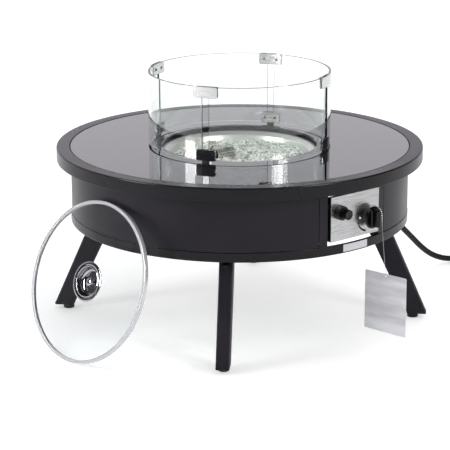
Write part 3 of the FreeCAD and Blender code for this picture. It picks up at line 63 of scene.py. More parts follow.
def aimCamera():
    # the view line is turned by yaw and dipped by pitch, its frame rolled about it, and all of it
    # turned about the table's upright axis
    yaw, pitch, roll = camera["yaw"], camera["pitch"], camera["roll"]
    ahead = np.array([math.sin(yaw) * math.cos(pitch), math.cos(yaw) * math.cos(pitch), -math.sin(pitch)])
    side = np.cross(ahead, [0, 0, 1])
    side /= np.linalg.norm(side)
    up = np.cross(side, ahead)
    side, up = (side * math.cos(roll) + up * math.sin(roll), up * math.cos(roll) - side * math.sin(roll))
    spin = aboutZ(camera["turn"])
    place = spin @ np.array([0, -camera["distance"], camera["height"]]) * mm
    axes = np.column_stack([spin @ side, spin @ up, spin @ -ahead, place])
    data = bpy.data.cameras.new("photoCamera")
    data.sensor_width, data.clip_end = camera["sensor"], camera["clip"]
    data.lens = camera["focal"] / camera["width"] * camera["sensor"]
    eye = addObject("photoCamera", data)
    eye.matrix_world = Matrix([*axes.tolist(), [0, 0, 0, 1]])
    bpy.context.scene.camera = eye


aimCamera()

# ---- shapes: each is a list of points and groups of faces with equally many corners


def gridFaces(rows, columns, wrapRows=False, wrapColumns=False):
    # the four neighbours round each cell of a grid that is numbered row by row
    r = np.arange(rows if wrapRows else rows - 1)[:, None]
    c = np.arange(columns if wrapColumns else columns - 1)[None, :]
    r, c = np.broadcast_arrays(r, c)
    up, on = (r + 1) % rows, (c + 1) % columns
    low, high = r * columns, up * columns
    return np.stack([low + c, low + on, high + on, high + c], -1).reshape(-1, 4)


def outward(points, faces):
    # six times the volume is the sum of corner triple products; below zero the faces point in
    volume = 0.0
    for f in faces:
        first = points[f[:, 0]]
        for i in range(1, f.shape[1] - 1):
            volume += float(np.sum(first * np.cross(points[f[:, i]], points[f[:, i + 1]])))
    return points, ([f[:, ::-1] for f in faces] if volume < 0 else list(faces))


def joined(*shapes):
    points, faces, start = [], [], 0
    for p, fs in shapes:
        points.append(p)
        faces += [f + start for f in fs]
        start += len(p)
    return np.vstack(points), faces


def eased(corners, reach, steps=5, closed=True):
    # a corner P gives way to (1-s)^2 A + 2s(1-s) P + s^2 B, where A and B lie on its two sides,
    # the reach away from it and never past 0.47 of a side
    corners = np.asarray(corners, float)
    reach = np.broadcast_to(np.asarray(reach, float), len(corners)).copy()
    back, on = np.roll(corners, 1, 0) - corners, np.roll(corners, -1, 0) - corners
    if not closed:
        reach[[0, -1]] = 0
    longBack, longOn = (np.maximum(np.linalg.norm(v, axis=1), 1e-9) for v in (back, on))
    reach = np.minimum(reach, 0.47 * np.minimum(longBack, longOn))
    a = corners + back * (reach / longBack)[:, None]
    b = corners + on * (reach / longOn)[:, None]
    s = np.linspace(0, 1, steps)[None, :, None]
    curve = (1 - s) ** 2 * a[:, None] + 2 * s * (1 - s) * corners[:, None] + s ** 2 * b[:, None]
    curve = curve.reshape(-1, corners.shape[1])
    apart = np.linalg.norm(curve - np.roll(curve, 1, 0), axis=1) > 1e-4
    apart[0] = apart[0] or not closed
    return curve[apart]


def roundAngles(steps):
    return np.linspace(0, 2 * np.pi, steps, endpoint=False)


def turned(profile, steps=96):
    # a point (radius, height) of the profile at an angle stands at radius times (sine, minus cosine);
    # a profile that starts and ends on the axis gets a pole at each end, any other closes on itself
    profile = np.asarray(profile, float)
    angle = roundAngles(steps)
    poled = profile[0, 0] == 0
    ring = profile[1:-1] if poled else profile
    heights = np.broadcast_to(ring[:, 1:], (len(ring), steps))
    points = np.stack([ring[:, :1] * np.sin(angle), -ring[:, :1] * np.cos(angle), heights], -1).reshape(-1, 3)
    faces = [gridFaces(len(ring), steps, wrapRows=not poled, wrapColumns=True)]
    if poled:
        k, n = np.arange(steps), len(points)
        last = n - steps
        points = np.vstack([points, [0, 0, profile[0, 1]], [0, 0, profile[-1, 1]]])
        faces.append(np.stack([(k + 1) % steps, k, np.full(steps, n)], -1))
        faces.append(np.stack([last + k, last + (k + 1) % steps, np.full(steps, n + 1)], -1))
    return outward(points, faces)


def lathed(corners, reach, curve, steps=96):
    # the corners are eased and turned; a profile that starts on the axis stays open
    return turned(eased(corners, reach, curve, corners[0][0] != 0), steps)


def lofted(rings):
    # rings of equally many points, each joined to the next, and a face over each end
    rings = np.asarray(rings, float)
    m, n = rings.shape[:2]
    ends = [np.arange(n)[::-1][None], ((m - 1) * n + np.arange(n))[None]]
    return outward(rings.reshape(-1, 3), [gridFaces(m, n, wrapColumns=True), *ends])


def roundedBox(halfX, halfY, corner, steps=5):
    return eased([(halfX, halfY), (-halfX, halfY), (-halfX, -halfY), (halfX, -halfY)], corner, steps)


def stacked(outlines, heights):
    # flat outlines (x, y), each at its own height
    outlines, heights = np.asarray(outlines, float), np.asarray(heights, float)
    level = np.broadcast_to(heights[:, None, None], (*outlines.shape[:2], 1))
    return lofted(np.concatenate([outlines, level], -1))


def cushionedBlock(halfX, halfY, low, high, corner, edge):
    # an upright block whose outline draws in along a quarter circle at both ends
    a = np.radians(np.linspace(0, 90, 4))
    inset = edge * (1 - np.sin(a))
    lift = edge * (1 - np.cos(a))
    rings = [roundedBox(halfX - i, halfY - i, max(corner - i, 0.1)) for i in inset]
    return stacked(rings + rings[::-1], np.concatenate([low + lift, (high - lift)[::-1]]))


def slab(width, height, thick, corner=0.0, edge=0.4, columns=12, rows=4):
    # x runs over the width, y over the height. Each row is as wide as the corner circles leave it, and
    # front and back fall to the rim along a quarter circle of the distance from the outline
    edge = min(edge, 0.49 * thick)
    quarter = 1 - np.cos(np.radians(np.linspace(0, 90, 4)))
    inset = np.unique(np.concatenate([edge * quarter, corner * quarter]).round(4))
    inset = inset[inset < 0.45 * min(width, height)]
    down = np.concatenate([inset, np.linspace(inset[-1], height - inset[-1], rows + 1)[1:-1],
                           height - inset[::-1]])
    side = edge * quarter
    away = np.minimum(down, height - down)
    bite = np.maximum(corner - away, 0)
    half = width / 2 - corner + np.sqrt(np.maximum(corner ** 2 - bite ** 2, 0))
    middle = np.linspace(-1, 1, columns + 1)[1:-1][None, :]
    reach = (half - side[-1])[:, None]
    x = np.hstack([-half[:, None] + side[None], middle * reach, half[:, None] - side[None, ::-1]])
    y = np.broadcast_to((down - height / 2)[:, None], x.shape)
    near = np.minimum(half[:, None] - np.abs(x), away[:, None]).clip(0, edge)
    z = thick / 2 - edge + np.sqrt(np.maximum(edge ** 2 - (edge - near) ** 2, 0))
    m, n = x.shape
    points = np.vstack([np.stack([x, y, z], -1).reshape(-1, 3), np.stack([x, y, -z], -1).reshape(-1, 3)])
    front = gridFaces(m, n)
    loop = np.concatenate([np.arange(n - 1), np.arange(m - 1) * n + n - 1,
                           m * n - 1 - np.arange(n - 1), (m - 1 - np.arange(m - 1)) * n])
    after = np.roll(loop, -1)
    rim = np.stack([after, loop, loop + m * n, after + m * n], -1)
    return outward(points, [front, front[:, ::-1] + m * n, rim])


def cellPlate(xs, ys, kept, thick):
    # front and back of the kept cells of a grid, and a wall along each side that only one of them has
    xs, ys, kept = np.asarray(xs, float), np.asarray(ys, float), np.asarray(kept, bool)
    m, n = len(ys), len(xs)
    x, y = np.meshgrid(xs, ys)
    flat = np.stack([x, y, np.full_like(x, thick / 2)], -1).reshape(-1, 3)
    points = np.vstack([flat, flat * [1, 1, -1]])
    front = gridFaces(m, n)[kept.ravel()]
    sides = np.stack([front, np.roll(front, -1, 1)], -1).reshape(-1, 2)
    rim = sides[~np.isin(sides @ [1, m * n], sides @ [m * n, 1])]
    walls = np.stack([rim[:, 1], rim[:, 0], rim[:, 0] + m * n, rim[:, 1] + m * n], -1)
    faces = [front, front[:, ::-1] + m * n, walls]
    used, place = np.unique(np.concatenate([f.ravel() for f in faces]), return_inverse=True)
    cuts = np.cumsum([f.size for f in faces])[:-1]
    faces = [part.reshape(-1, 4) for part in np.split(place, cuts)]
    return outward(points[used], faces)


def curveMesh(data):
    # points and faces of the mesh that a curve draws; the curve itself goes
    holder = bpy.data.objects.new("curve", data)
    mesh = bpy.data.meshes.new_from_object(holder)
    points = np.zeros(len(mesh.vertices) * 3)
    mesh.vertices.foreach_get("co", points)
    faces = [np.array([list(p.vertices)]) for p in mesh.polygons]
    bpy.data.objects.remove(holder)
    bpy.data.curves.remove(data)
    bpy.data.meshes.remove(mesh)
    return points.reshape(-1, 3), faces


def cutSheet(outlines, thick, edge):
    # a flat sheet inside the first outline and outside the others, filled and given its edge by a curve
    data = bpy.data.curves.new("outline", "CURVE")
    data.dimensions, data.fill_mode = "2D", "BOTH"
    data.extrude, data.bevel_depth, data.offset = thick / 2 - edge, edge, -edge
    data.bevel_resolution = 1
    for outline in outlines:
        spline = data.splines.new("POLY")
        spline.points.add(len(outline) - 1)
        flat = np.zeros((len(outline), 4))
        flat[:, :2], flat[:, 3] = outline, 1
        spline.points.foreach_set("co", flat.ravel())
        spline.use_cyclic_u = True
    return curveMesh(data)


def circle(radius, x, y, steps=40):
    # the radius times (cosine, sine) of evenly spaced angles, round a centre
    a = roundAngles(steps)
    return np.stack([x + radius * np.cos(a), y + radius * np.sin(a)], -1)


def ringed(reach, heights):
    # rings of points at a reach from the z axis, one row of reaches and one height or more to a ring
    a = roundAngles(reach.shape[1])
    return np.stack([reach * np.cos(a), reach * np.sin(a), np.broadcast_to(heights, reach.shape)], -1)


def fluted(radius, share, dip, heights):
    # rings whose radius falls by a share of the dip, which runs round the axis
    reach = np.array(radius)[:, None] - np.array(share)[:, None] * dip
    return ringed(reach, np.array(heights)[:, None])


def swapped(shape, order):
    # the coordinates in another order
    return outward(shape[0][:, order], shape[1])


def moved(shape, azimuth=0.0, shift=(0, 0, 0), lean=0.0, spin=0.0):
    # spun about z, leaned about x, shifted, then turned about the table's axis
    points, faces = shape
    s, c = math.sin(math.radians(lean)), math.cos(math.radians(lean))
    leaned = np.array([[1, 0, 0], [0, c, -s], [0, s, c]])
    return (points @ (leaned @ aboutZ(spin)).T + np.asarray(shift, float)) @ aboutZ(azimuth).T, faces


def bent(shape, radius, azimuth=0.0, height=0.0):
    # x is laid along a circle of that radius round the table's axis, and z counts outwards from it
    points, faces = shape
    angle = points[:, 0] / radius + math.radians(azimuth)
    out = radius + points[:, 2]
    return np.stack([out * np.sin(angle), -out * np.cos(angle), points[:, 1] + height], -1), faces


def routeLine(points, pitch):
    # places a pitch apart on the smooth line that a spline draws from the points, by its length
    data = bpy.data.curves.new("route", "CURVE")
    data.dimensions = "3D"
    addSpline(data, np.asarray(points, float), 24)
    line, _ = curveMesh(data)
    run = np.concatenate([[0], np.cumsum(np.linalg.norm(np.diff(line, axis=0), axis=1))])
    at = np.linspace(0, run[-1], int(run[-1] / pitch) + 1)
    return np.stack([np.interp(at, run, line[:, i]) for i in range(3)], -1)


def addSpline(data, points, resolution):
    spline = data.splines.new("NURBS")
    spline.points.add(len(points) - 1)
    spline.points.foreach_set("co", np.column_stack([points, np.ones(len(points))]).ravel())
    spline.order_u = 3
    spline.use_endpoint_u = True
    spline.resolution_u = resolution


def addPiece(node, parts, slotName, body="table", sharp=32, name=None):
    # parts are pairs of a shape and its finish; without a name the piece has its node's in camel case
    first, *rest = node.split("_")
    name = name or first + "".join(word.title() for word in rest)
    mesh = bpy.data.meshes.new(name)
    points, faces = joined(*[shape for shape, _ in parts])
    mesh.from_pydata((points * mm).tolist(), [], [row for group in faces for row in group.tolist()])
    counts = [sum(len(f) for f in shape[1]) for shape, _ in parts]
    mesh.polygons.foreach_set("material_index", np.repeat(np.arange(len(parts)), counts))
    for _, look in parts:
        mesh.materials.append(look)
    mesh.shade_smooth()
    mesh.set_sharp_from_angle(angle=math.radians(sharp))
    mesh.update()
    obj = addObject(name, mesh)
    obj.modifiers.new("flatFaces", "WEIGHTED_NORMAL").keep_sharp = True
    bind(obj, body, slotName, node)
    return obj


def bind(obj, body, slotName, *nodes):
    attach(obj, body)
    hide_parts(*nodes)


def softEdges(obj, width):
    bevel = obj.modifiers.new("softEdges", "BEVEL")
    bevel.width, bevel.segments = width * mm, 2
    bevel.limit_method, bevel.angle_limit = "ANGLE", math.radians(40)
    bevel.harden_normals = False


# ---- finishes


def tone(r, g, b):
    # each channel over 255, over 1.055 after adding 0.055, to the power 2.4, or over 12.92 when dark
    c = np.array([r, g, b]) / 255
    return tuple(np.where(c <= 0.04045, c / 12.92, ((c + 0.055) / 1.055) ** 2.4)) + (1.0,)


def feed(tree, value, socket):
    # a node's output is linked to the socket, anything else is its value
    if isinstance(value, bpy.types.NodeSocket):
        tree.links.new(value, socket)
    else:
        socket.default_value = value


def addNode(tree, kind, inputs, output=0, **settings):
    # gives back the one output that is used
    node = tree.nodes.new("ShaderNode" + kind)
    for key, value in settings.items():
        setattr(node, key, value)
    for socket, value in inputs.items():
        feed(tree, value, node.inputs[socket])
    return node.outputs[output]


def mapRange(tree, value, start, end, low, high, **settings):
    inputs = {"Value": value, "From Min": start, "From Max": end, "To Min": low, "To Max": high}
    return addNode(tree, "MapRange", inputs, **settings)


def mixed(tree, fac, first, second):
    return addNode(tree, "MixShader", {"Fac": fac, 1: first, 2: second})


def rayIs(tree, kind):
    return addNode(tree, "LightPath", {}, "Is %s Ray" % kind)


def feedShader(look, value, socket):
    feed(look.node_tree, value, look.node_tree.nodes["Principled BSDF"].inputs[socket])


def feedOutput(look, value, socket="Surface"):
    feed(look.node_tree, value, look.node_tree.nodes["Material Output"].inputs[socket])


def makeFinish(name, color, roughness, **sockets):
    look = bpy.data.materials.new(name)
    look.use_nodes = True
    feedShader(look, tone(*color), "Base Color")
    feedShader(look, roughness, "Roughness")
    for socket, value in sockets.items():
        feedShader(look, value, socket.replace("_", " "))
    return look


def addNoise(look, scale, detail, stretch=(1, 1, 1)):
    # noise on the piece's own coordinates in metres, stretched along an axis where it is brushed
    tree = look.node_tree
    mapping = addNode(tree, "Mapping", {"Vector": addNode(tree, "TexCoord", {}, "Object"), "Scale": stretch})
    return addNode(tree, "TexNoise", {"Vector": mapping, "Scale": scale, "Detail": detail})


def addRings(look, scale):
    # noise of the distance from the table's axis and the height, so that it runs round the axis
    tree = look.node_tree
    place = addNode(tree, "TexCoord", {}, "Object")
    x, y, z = (addNode(tree, "SeparateXYZ", {"Vector": place}, axis) for axis in "XYZ")
    flat = addNode(tree, "CombineXYZ", {"X": x, "Y": y})
    reach = addNode(tree, "VectorMath", {0: flat}, "Value", operation="LENGTH")
    both = addNode(tree, "CombineXYZ", {"X": reach, "Y": z})
    return addNode(tree, "TexNoise", {"Vector": both, "Scale": scale, "Detail": 5})


def varyColor(look, fac, low, high, start=0.35, end=0.65):
    color = addNode(look.node_tree, "ValToRGB", {"Fac": fac})
    for stop, place, shade in zip(color.node.color_ramp.elements, (start, end), (low, high)):
        stop.position, stop.color = place, tone(*shade)
    feedShader(look, color, "Base Color")


def varyRoughness(look, fac, low, high):
    feedShader(look, mapRange(look.node_tree, fac, 0.3, 0.7, low, high), "Roughness")


def addBump(look, fac, strength, depth):
    bump = addNode(look.node_tree, "Bump", {"Strength": strength, "Distance": depth * mm, "Height": fac})
    feedShader(look, bump, "Normal")


def powderCoat(name, color, roughness, specular):
    # fine orange peel, with colour and gloss that drift a little over the sheet
    look = makeFinish(name, color, roughness, Specular_IOR_Level=specular)
    drift = addNoise(look, 9, 3)
    varyColor(look, drift, [v * 0.9 for v in color], [v * 1.1 for v in color])
    varyRoughness(look, drift, roughness - 0.04, roughness + 0.05)
    addBump(look, addNoise(look, 900, 2), 0.12, 0.05)
    return look


def moulded(name, color, roughness, bump=0.1, specular=0.5, spread=0.1):
    # plastic, rubber or card with a fine grain
    look = makeFinish(name, color, roughness, Specular_IOR_Level=specular)
    drift = addNoise(look, 60, 3)
    varyColor(look, drift, [v * (1 - spread) for v in color], [min(v * (1 + spread), 255) for v in color])
    varyRoughness(look, drift, roughness - 0.05, roughness + 0.06)
    addBump(look, addNoise(look, 1400, 2), bump, 0.04)
    return look


def metalLook(name, color, low, high, scale=30, stretch=(1, 1, 1), bump=0.04, rings=0, metallic=1.0):
    look = makeFinish(name, color, low, Metallic=metallic)
    grain = addRings(look, rings) if rings else addNoise(look, scale, 5, stretch)
    varyColor(look, grain, [v * 0.93 for v in color], [min(v * 1.05, 255) for v in color])
    varyRoughness(look, grain, low, high)
    if bump:
        addBump(look, grain, bump, 0.05)
    return look


def clearGlass(name, absorb, density):
    # rays towards a lamp pass the pane, so what it covers isn't in its shadow
    look = makeFinish(name, (255, 255, 255), 0.0, Transmission_Weight=1.0, IOR=1.45)
    varyColor(look, addNoise(look, 6, 2), (254, 254, 254), (255, 255, 255))
    tree = look.node_tree
    clear = addNode(tree, "BsdfTransparent", {"Color": (0.94, 0.97, 0.96, 1)})
    feedOutput(look, mixed(tree, rayIs(tree, "Shadow"), tree.nodes["Principled BSDF"].outputs["BSDF"], clear))
    volume = addNode(tree, "VolumeAbsorption", {"Color": tone(*absorb), "Density": density})
    feedOutput(look, volume, "Volume")
    return look


skinBlack = powderCoat("skinBlack", (33, 30, 37), 0.34, 0.16)
edgeBlack = powderCoat("edgeBlack", (18, 16, 20), 0.27, 0.2)
legBlack = powderCoat("legBlack", (38, 36, 42), 0.5, 0.12)
# black of the frames; also painted shade on the plate's side walls and inside the hood
frameBlackAndShade = powderCoat("frameBlackAndShade", (14, 13, 15), 0.45, 0.15)
plateGrey = metalLook("plateGrey", (171, 171, 172), 0.26, 0.31, 20, (1, 1, 14), 0)
topGlass = makeFinish("topGlass", (11, 9, 13), 0.03, Coat_Weight=0.45, Coat_Roughness=0.02)
varyRoughness(topGlass, addNoise(topGlass, 12, 3), 0.02, 0.045)
gasketRubber = moulded("gasketRubber", (22, 22, 23), 0.7)
knobBlack = moulded("knobBlack", (6, 6, 7), 0.14, 0.02, 0.27)
collarBlack = moulded("collarBlack", (8, 8, 9), 0.3, 0.08, 0.3)
footBlack = moulded("footBlack", (18, 18, 19), 0.55, 0.1, 0.3)
hoseBlack = moulded("hoseBlack", (34, 33, 36), 0.55, 0.15, 0.2)
nutBlack = moulded("nutBlack", (28, 30, 31), 0.45)
leadBlack = moulded("leadBlack", (30, 30, 32), 0.55)
inkBlack = moulded("inkBlack", (2, 2, 3), 0.6, 0.02, 0.1)
labelPaper = moulded("labelPaper", (214, 215, 218), 0.45, 0.02, 0.3, 0.012)
# light and dark bands along the card's height: painted shade and sheen of a wavy card on a flat one
tagCard = makeFinish("tagCard", (226, 226, 230), 0.42)
varyColor(tagCard, addNoise(tagCard, 9, 3, (1, 1, 5)), (212, 212, 217), (244, 244, 248))
varyRoughness(tagCard, addNoise(tagCard, 60, 3), 0.37, 0.48)
satinSteel = metalLook("satinSteel", (205, 205, 206), 0.2, 0.3, 40, (1, 1, 22), 0.05)
polishedSteel = metalLook("polishedSteel", (205, 205, 208), 0.05, 0.1, 25, (1, 1, 6), 0.02)
bandSteel = metalLook("bandSteel", (216, 217, 220), 0.24, 0.28, 1.2, (1, 1, 1), 0, metallic=0.5)
# a darker copy of polished steel: painted shade for the dark surroundings that the lid's cup and knob and the
# clips' screws mirror
shadedSteel = metalLook("shadedSteel", (168, 168, 171), 0.04, 0.08, 25, (1, 1, 6), 0.02)
panSteel = metalLook("panSteel", (240, 239, 236), 0.34, 0.46, bump=0.06, rings=700, metallic=0.76)
burnerSteel = metalLook("burnerSteel", (222, 220, 216), 0.24, 0.38, 60, metallic=0.8)
zincSteel = metalLook("zincSteel", (165, 167, 168), 0.34, 0.5, 90)
brassLook = metalLook("brassLook", (190, 160, 98), 0.24, 0.38, 70)
copperLook = metalLook("copperLook", (142, 128, 118), 0.24, 0.4, 70)
castGrey = metalLook("castGrey", (140, 143, 146), 0.42, 0.58, 260, bump=0.25)
# near-white steel: painted highlight on the chain's beads near the knob
beadGlint = metalLook("beadGlint", (245, 245, 248), 0.2, 0.3, 30, (1, 1, 1), 0, metallic=0.4)
ceramicWhite = moulded("ceramicWhite", (222, 219, 210), 0.25, 0.02)
cellShell = moulded("cellShell", (70, 74, 78), 0.35)
paneGlass = clearGlass("paneGlass", (70, 208, 164), 9)
lidClear = clearGlass("lidClear", (150, 200, 195), 13)
chipGlass = makeFinish("chipGlass", (250, 252, 246), 0.04, Transmission_Weight=0.12, IOR=1.8)
varyColor(chipGlass, addNoise(chipGlass, 160, 2), (182, 189, 175), (255, 255, 253), 0.42, 0.54)
# darker than the chips: painted shade in the gaps under and between them
chipShade = makeFinish("chipShade", (200, 207, 192), 0.2, IOR=1.6)
varyColor(chipShade, addNoise(chipShade, 90, 2), (156, 162, 150), (216, 219, 209))
print("finishes made:", len(bpy.data.materials))

# ---- table top

top = dict(radius=412.5, width=29.1, height=402, depth=29, wall=3, round=3.4, ledgeReach=15.4, ledge=393,
           shelf=2, lift=3, glass=5, glassTop=401.5, bevel=0.8, hole=174, glassRadius=381.3, steps=288)


def makeTop():
    outer, inner = top["radius"], top["radius"] - top["width"]
    high, low = top["height"], top["height"] - top["depth"]
    shelf, wall, foot = top["ledge"], top["wall"], low + top["lift"]
    ledge, lip = shelf + top["shelf"], inner - top["ledgeReach"]
    corners = [(outer, low), (outer, high), (inner, high), (inner, ledge), (lip, ledge), (lip, shelf),
               (inner, shelf), (inner, foot), (inner + wall, foot), (inner + wall, high - wall),
               (outer - wall, high - wall), (outer - wall, low)]
    reach = [1.4, top["round"], 1.2, 0.1, 0.5, 0.5, 0.1, 0.3, 0.3, 0.3, 0.3, 1.2]
    addPiece("rim_ring", [(lathed(corners, reach, 7, top["steps"]), edgeBlack)], "black_edge")
    under, b = top["glassTop"] - top["glass"], top["bevel"]
    hole, edge, face = top["hole"], top["glassRadius"], top["glassTop"]
    corners = [(hole, under + b), (hole, face - b), (hole + b, face), (edge - b, face), (edge, face - b),
               (edge, under + b), (edge - b, under), (hole + b, under)]
    addPiece("glass_top", [(lathed(corners, 0.3, 4, top["steps"]), topGlass)], "table_glass", sharp=24,
             name="tableGlass")


makeTop()
print("table top made")

# ---- skin round the body

skin = dict(radius=380.4, sheet=1.5, seam=1.6, low=254.1, high=373, round=0.5, tongueHigh=366,
            tongueBack=1.55, tongueReach=1.3, seams=dict(front=31, right=59.8, back=148, left=268))
window = dict(azimuth=45.5, half=11.4, head=364.5, jamb=9, cells=(4, 24, 4), lintel=1.5, soft=0.35)
ring = dict(proud=0.8, low=232.5, high=253.5, upstand=262, flange=37, sheet=2.5, round=3, gap=1.2)
label = dict(width=70, height=16, thick=0.3, corner=1.2, edge=0.12, up=11.3, proud=0.25)
halfSeam = math.degrees(skin["seam"] / 2 / skin["radius"])


def skinSheet(start, end, low, high, thick=None, radius=None):
    # a plate as long as the arc between two azimuths, laid round the table
    thick = thick or skin["sheet"]
    middle = (radius or skin["radius"]) - thick / 2
    shape = slab(math.radians(end - start) * middle, high - low, thick, 0, skin["round"],
                 max(4, int((end - start) / 1.5)), 3)
    return bent(shape, middle, (start + end) / 2, (low + high) / 2)


def skinTongue(seam):
    # a strip behind a seam, held by one sheet and reaching past the next one's edge
    return skinSheet(seam - halfSeam - 1, seam + skin["tongueReach"], ring["upstand"] + 1, skin["tongueHigh"],
                     radius=skin["radius"] - skin["tongueBack"])


def makeSkin():
    seams = skin["seams"]
    for side, start, end in (("front", seams["left"] - 360, seams["front"]),
                             ("right", seams["right"], seams["back"]),
                             ("back", seams["back"], seams["left"])):
        sheet = skinSheet(start + halfSeam, end - halfSeam, skin["low"], skin["high"])
        addPiece("panel_" + side, [(sheet, skinBlack), (skinTongue(end), skinBlack)], "black_steel",
                 name="skin" + side.title())


def makeWindow():
    # one sheet with the opening left out of its cells, and returns that turn in round the opening
    seams, middle = skin["seams"], skin["radius"] - skin["sheet"] / 2
    left, right = window["azimuth"] - window["half"], window["azimuth"] + window["half"]
    stops = [seams["front"] + halfSeam, left, right, seams["right"] - halfSeam]
    spans = zip(stops, stops[1:], window["cells"])
    xs = np.concatenate([np.linspace(a, b, n, endpoint=False) for a, b, n in spans] + [stops[-1:]])
    hollow = (xs[:-1] > left - 0.01) & (xs[:-1] < right - 0.01)
    kept = np.stack([~hollow, np.ones_like(hollow)])
    xs = np.radians(xs - window["azimuth"]) * middle
    face = cellPlate(xs, [skin["low"], window["head"], skin["high"]], kept, skin["sheet"])
    shapes = [bent(face, middle, window["azimuth"])]
    half, tall = math.radians(window["half"]), window["head"] - skin["low"]
    across, depth = skin["radius"] * math.sin(half), skin["radius"] * math.cos(half)
    jamb = swapped(slab(window["jamb"], tall, skin["sheet"], 0, 0.4, 3, 3), [2, 0, 1])
    for x in (-across - skin["sheet"] / 2, across + skin["sheet"] / 2):
        shift = (x, window["jamb"] / 2 + 0.6 - depth, skin["low"] + tall / 2)
        shapes.append(moved(jamb, window["azimuth"], shift))
    shapes.append(skinSheet(left, right, window["head"], window["head"] + window["lintel"], window["jamb"],
                            skin["radius"] - skin["sheet"] - 0.1))
    shapes.append(skinTongue(seams["right"]))
    piece = addPiece("control_frame", [(s, skinBlack) for s in shapes], "black_steel", name="controlWindow")
    softEdges(piece, window["soft"])


def makeBottomRing():
    outer, inner = skin["radius"] + ring["proud"], skin["radius"] - skin["sheet"] - 0.2
    flange, low, sheet = inner - ring["flange"], ring["low"], ring["sheet"]
    corners = [(outer, low), (outer, ring["high"]), (inner - sheet, ring["high"]),
               (inner - sheet, low + sheet), (flange, low + sheet), (flange, low)]
    shape = lathed(corners, [ring["round"], 0.9, 0.2, 2, 0.8, 0.8], 7, 288)
    gap = window["half"] + ring["gap"]
    upstand = skinSheet(window["azimuth"] + gap, window["azimuth"] - gap + 360, ring["high"] - 1,
                        ring["upstand"], sheet, inner)
    addPiece("bottom_ring", [(shape, edgeBlack), (upstand, edgeBlack)], "black_edge")
    card = slab(label["width"], label["height"], label["thick"], label["corner"], label["edge"], 20, 2)
    card = bent(card, outer + label["proud"], window["azimuth"], low + label["up"])
    addPiece("blank_label", [(card, labelPaper)], "label_paper")


makeSkin()
makeWindow()
makeBottomRing()
print("skin made")

# ---- legs

leg = dict(width=30, top=235, foot=12, outer=(331, 428.8), inner=(279.5, 384), round=5, bolt=216.5,
           boltHead=7, boltHigh=4, socket=2.4, glide=12.5, glideAt=398, end=14.5, cap=4.5, capRound=0.9)
sides = (("front", 0), ("right", 90), ("back", 180), ("left", 270))


def legSide(height, side):
    # a side's distance from the axis changes evenly from the leg's top to its foot
    high, low = leg[side]
    return high + (leg["top"] - height) * (low - high) / (leg["top"] - leg["foot"])


def makeLegs():
    # at each height a rounded rectangle between the outer and the inner side line
    heights = np.array([leg["top"], leg["top"] - 0.6, 200, 150, 100, 50, leg["end"] + 0.5, leg["end"]])
    rings = []
    for height, inset in zip(heights, [0.6, 0, 0, 0, 0, 0, 0, 0.5]):
        outer, inner = legSide(height, "outer"), legSide(height, "inner")
        box = roundedBox(leg["width"] / 2 - inset, (outer - inner) / 2 - inset, leg["round"], 9)
        rings.append(box - [0, (outer + inner) / 2])
    shape = stacked(rings, heights)
    for side, azimuth in sides:
        addPiece("leg_" + side, [(moved(shape, azimuth), legBlack)], "black_edge")
    high, low = leg["outer"]
    lean = 90 - math.degrees(math.atan((low - high) / (leg["top"] - leg["foot"])))
    middle = (low + leg["inner"][1]) / 2
    cap = cushionedBlock(leg["width"] / 2, low - middle, leg["end"] - leg["cap"], leg["end"] - 0.02,
                         leg["round"], leg["capRound"])
    r = leg["glide"]
    glide = lathed([(0, 0), (r - 1, 0), (r, 1.2), (r, 7), (r - 1.6, 10), (0, 10)], 0.8, 4, 32)
    head = socketHead(leg["boltHead"], leg["boltHigh"], leg["socket"])
    bolt = (0, -legSide(leg["bolt"], "outer"), leg["bolt"])
    for node, shape, place, look, slotName in (
            ("leg_bolts", head, (bolt, lean), knobBlack, "black_edge"),
            ("leg_caps", cap, ((0, -middle, 0),), footBlack, "foot_plastic"),
            ("foot_glides", glide, ((0, -leg["glideAt"], 0),), footBlack, "foot_plastic")):
        addPiece(node, [(moved(shape, azimuth, *place), look) for _, azimuth in sides], slotName)


def socketHead(radius, height, socket):
    # a dome whose middle sinks inside a hexagon; the hexagon's reach at an angle is its flat's distance
    # over the cosine of the angle from the middle of that flat
    r = np.array([0.02, 0.55, 0.92, 1.0, 1.12, 1.5, 2.0, 2.5, 2.8, 2.92, 2.92])[:, None]
    hexagon = socket / np.cos((roundAngles(48) + np.pi / 6) % (np.pi / 3) - np.pi / 6)
    blend = np.clip((r - 1) / 0.6, 0, 1)
    reach = r * (1 - blend) * hexagon + blend * (r / r[-1]) * radius
    dome = height * np.sqrt(1 - (reach / radius) ** 2 * 0.72)
    level = np.where(r < 0.95, dome - height * 0.55, dome)
    level[-1] = -0.4
    return lofted(ringed(reach, level))


makeLegs()
print("legs made")

# ---- controls, on the plate's own frame: across, upwards, outwards from its face

control = dict(azimuth=45.5, distance=378, bottom=262.3, top=360.3, width=140, depth=10.2, sheet=1.2,
               corner=1.2, edge=0.3, wallGap=1.1, screwReach=23.4, igniter=(-47, 325.5), igniterHole=13.1,
               knob=(38.5, 302), knobHole=10)
mark = dict(radius=31.8, start=198, end=258, thin=2.6, thick=4.6, out=0.02)


def onPlate(shape, across=0.0, up=0.0, out=0.0):
    # local z points outwards and local y up
    points = shape[0] + [across, up, out + control["distance"]]
    return moved((points[:, [0, 2, 1]] * [1, -1, 1], shape[1]), control["azimuth"])


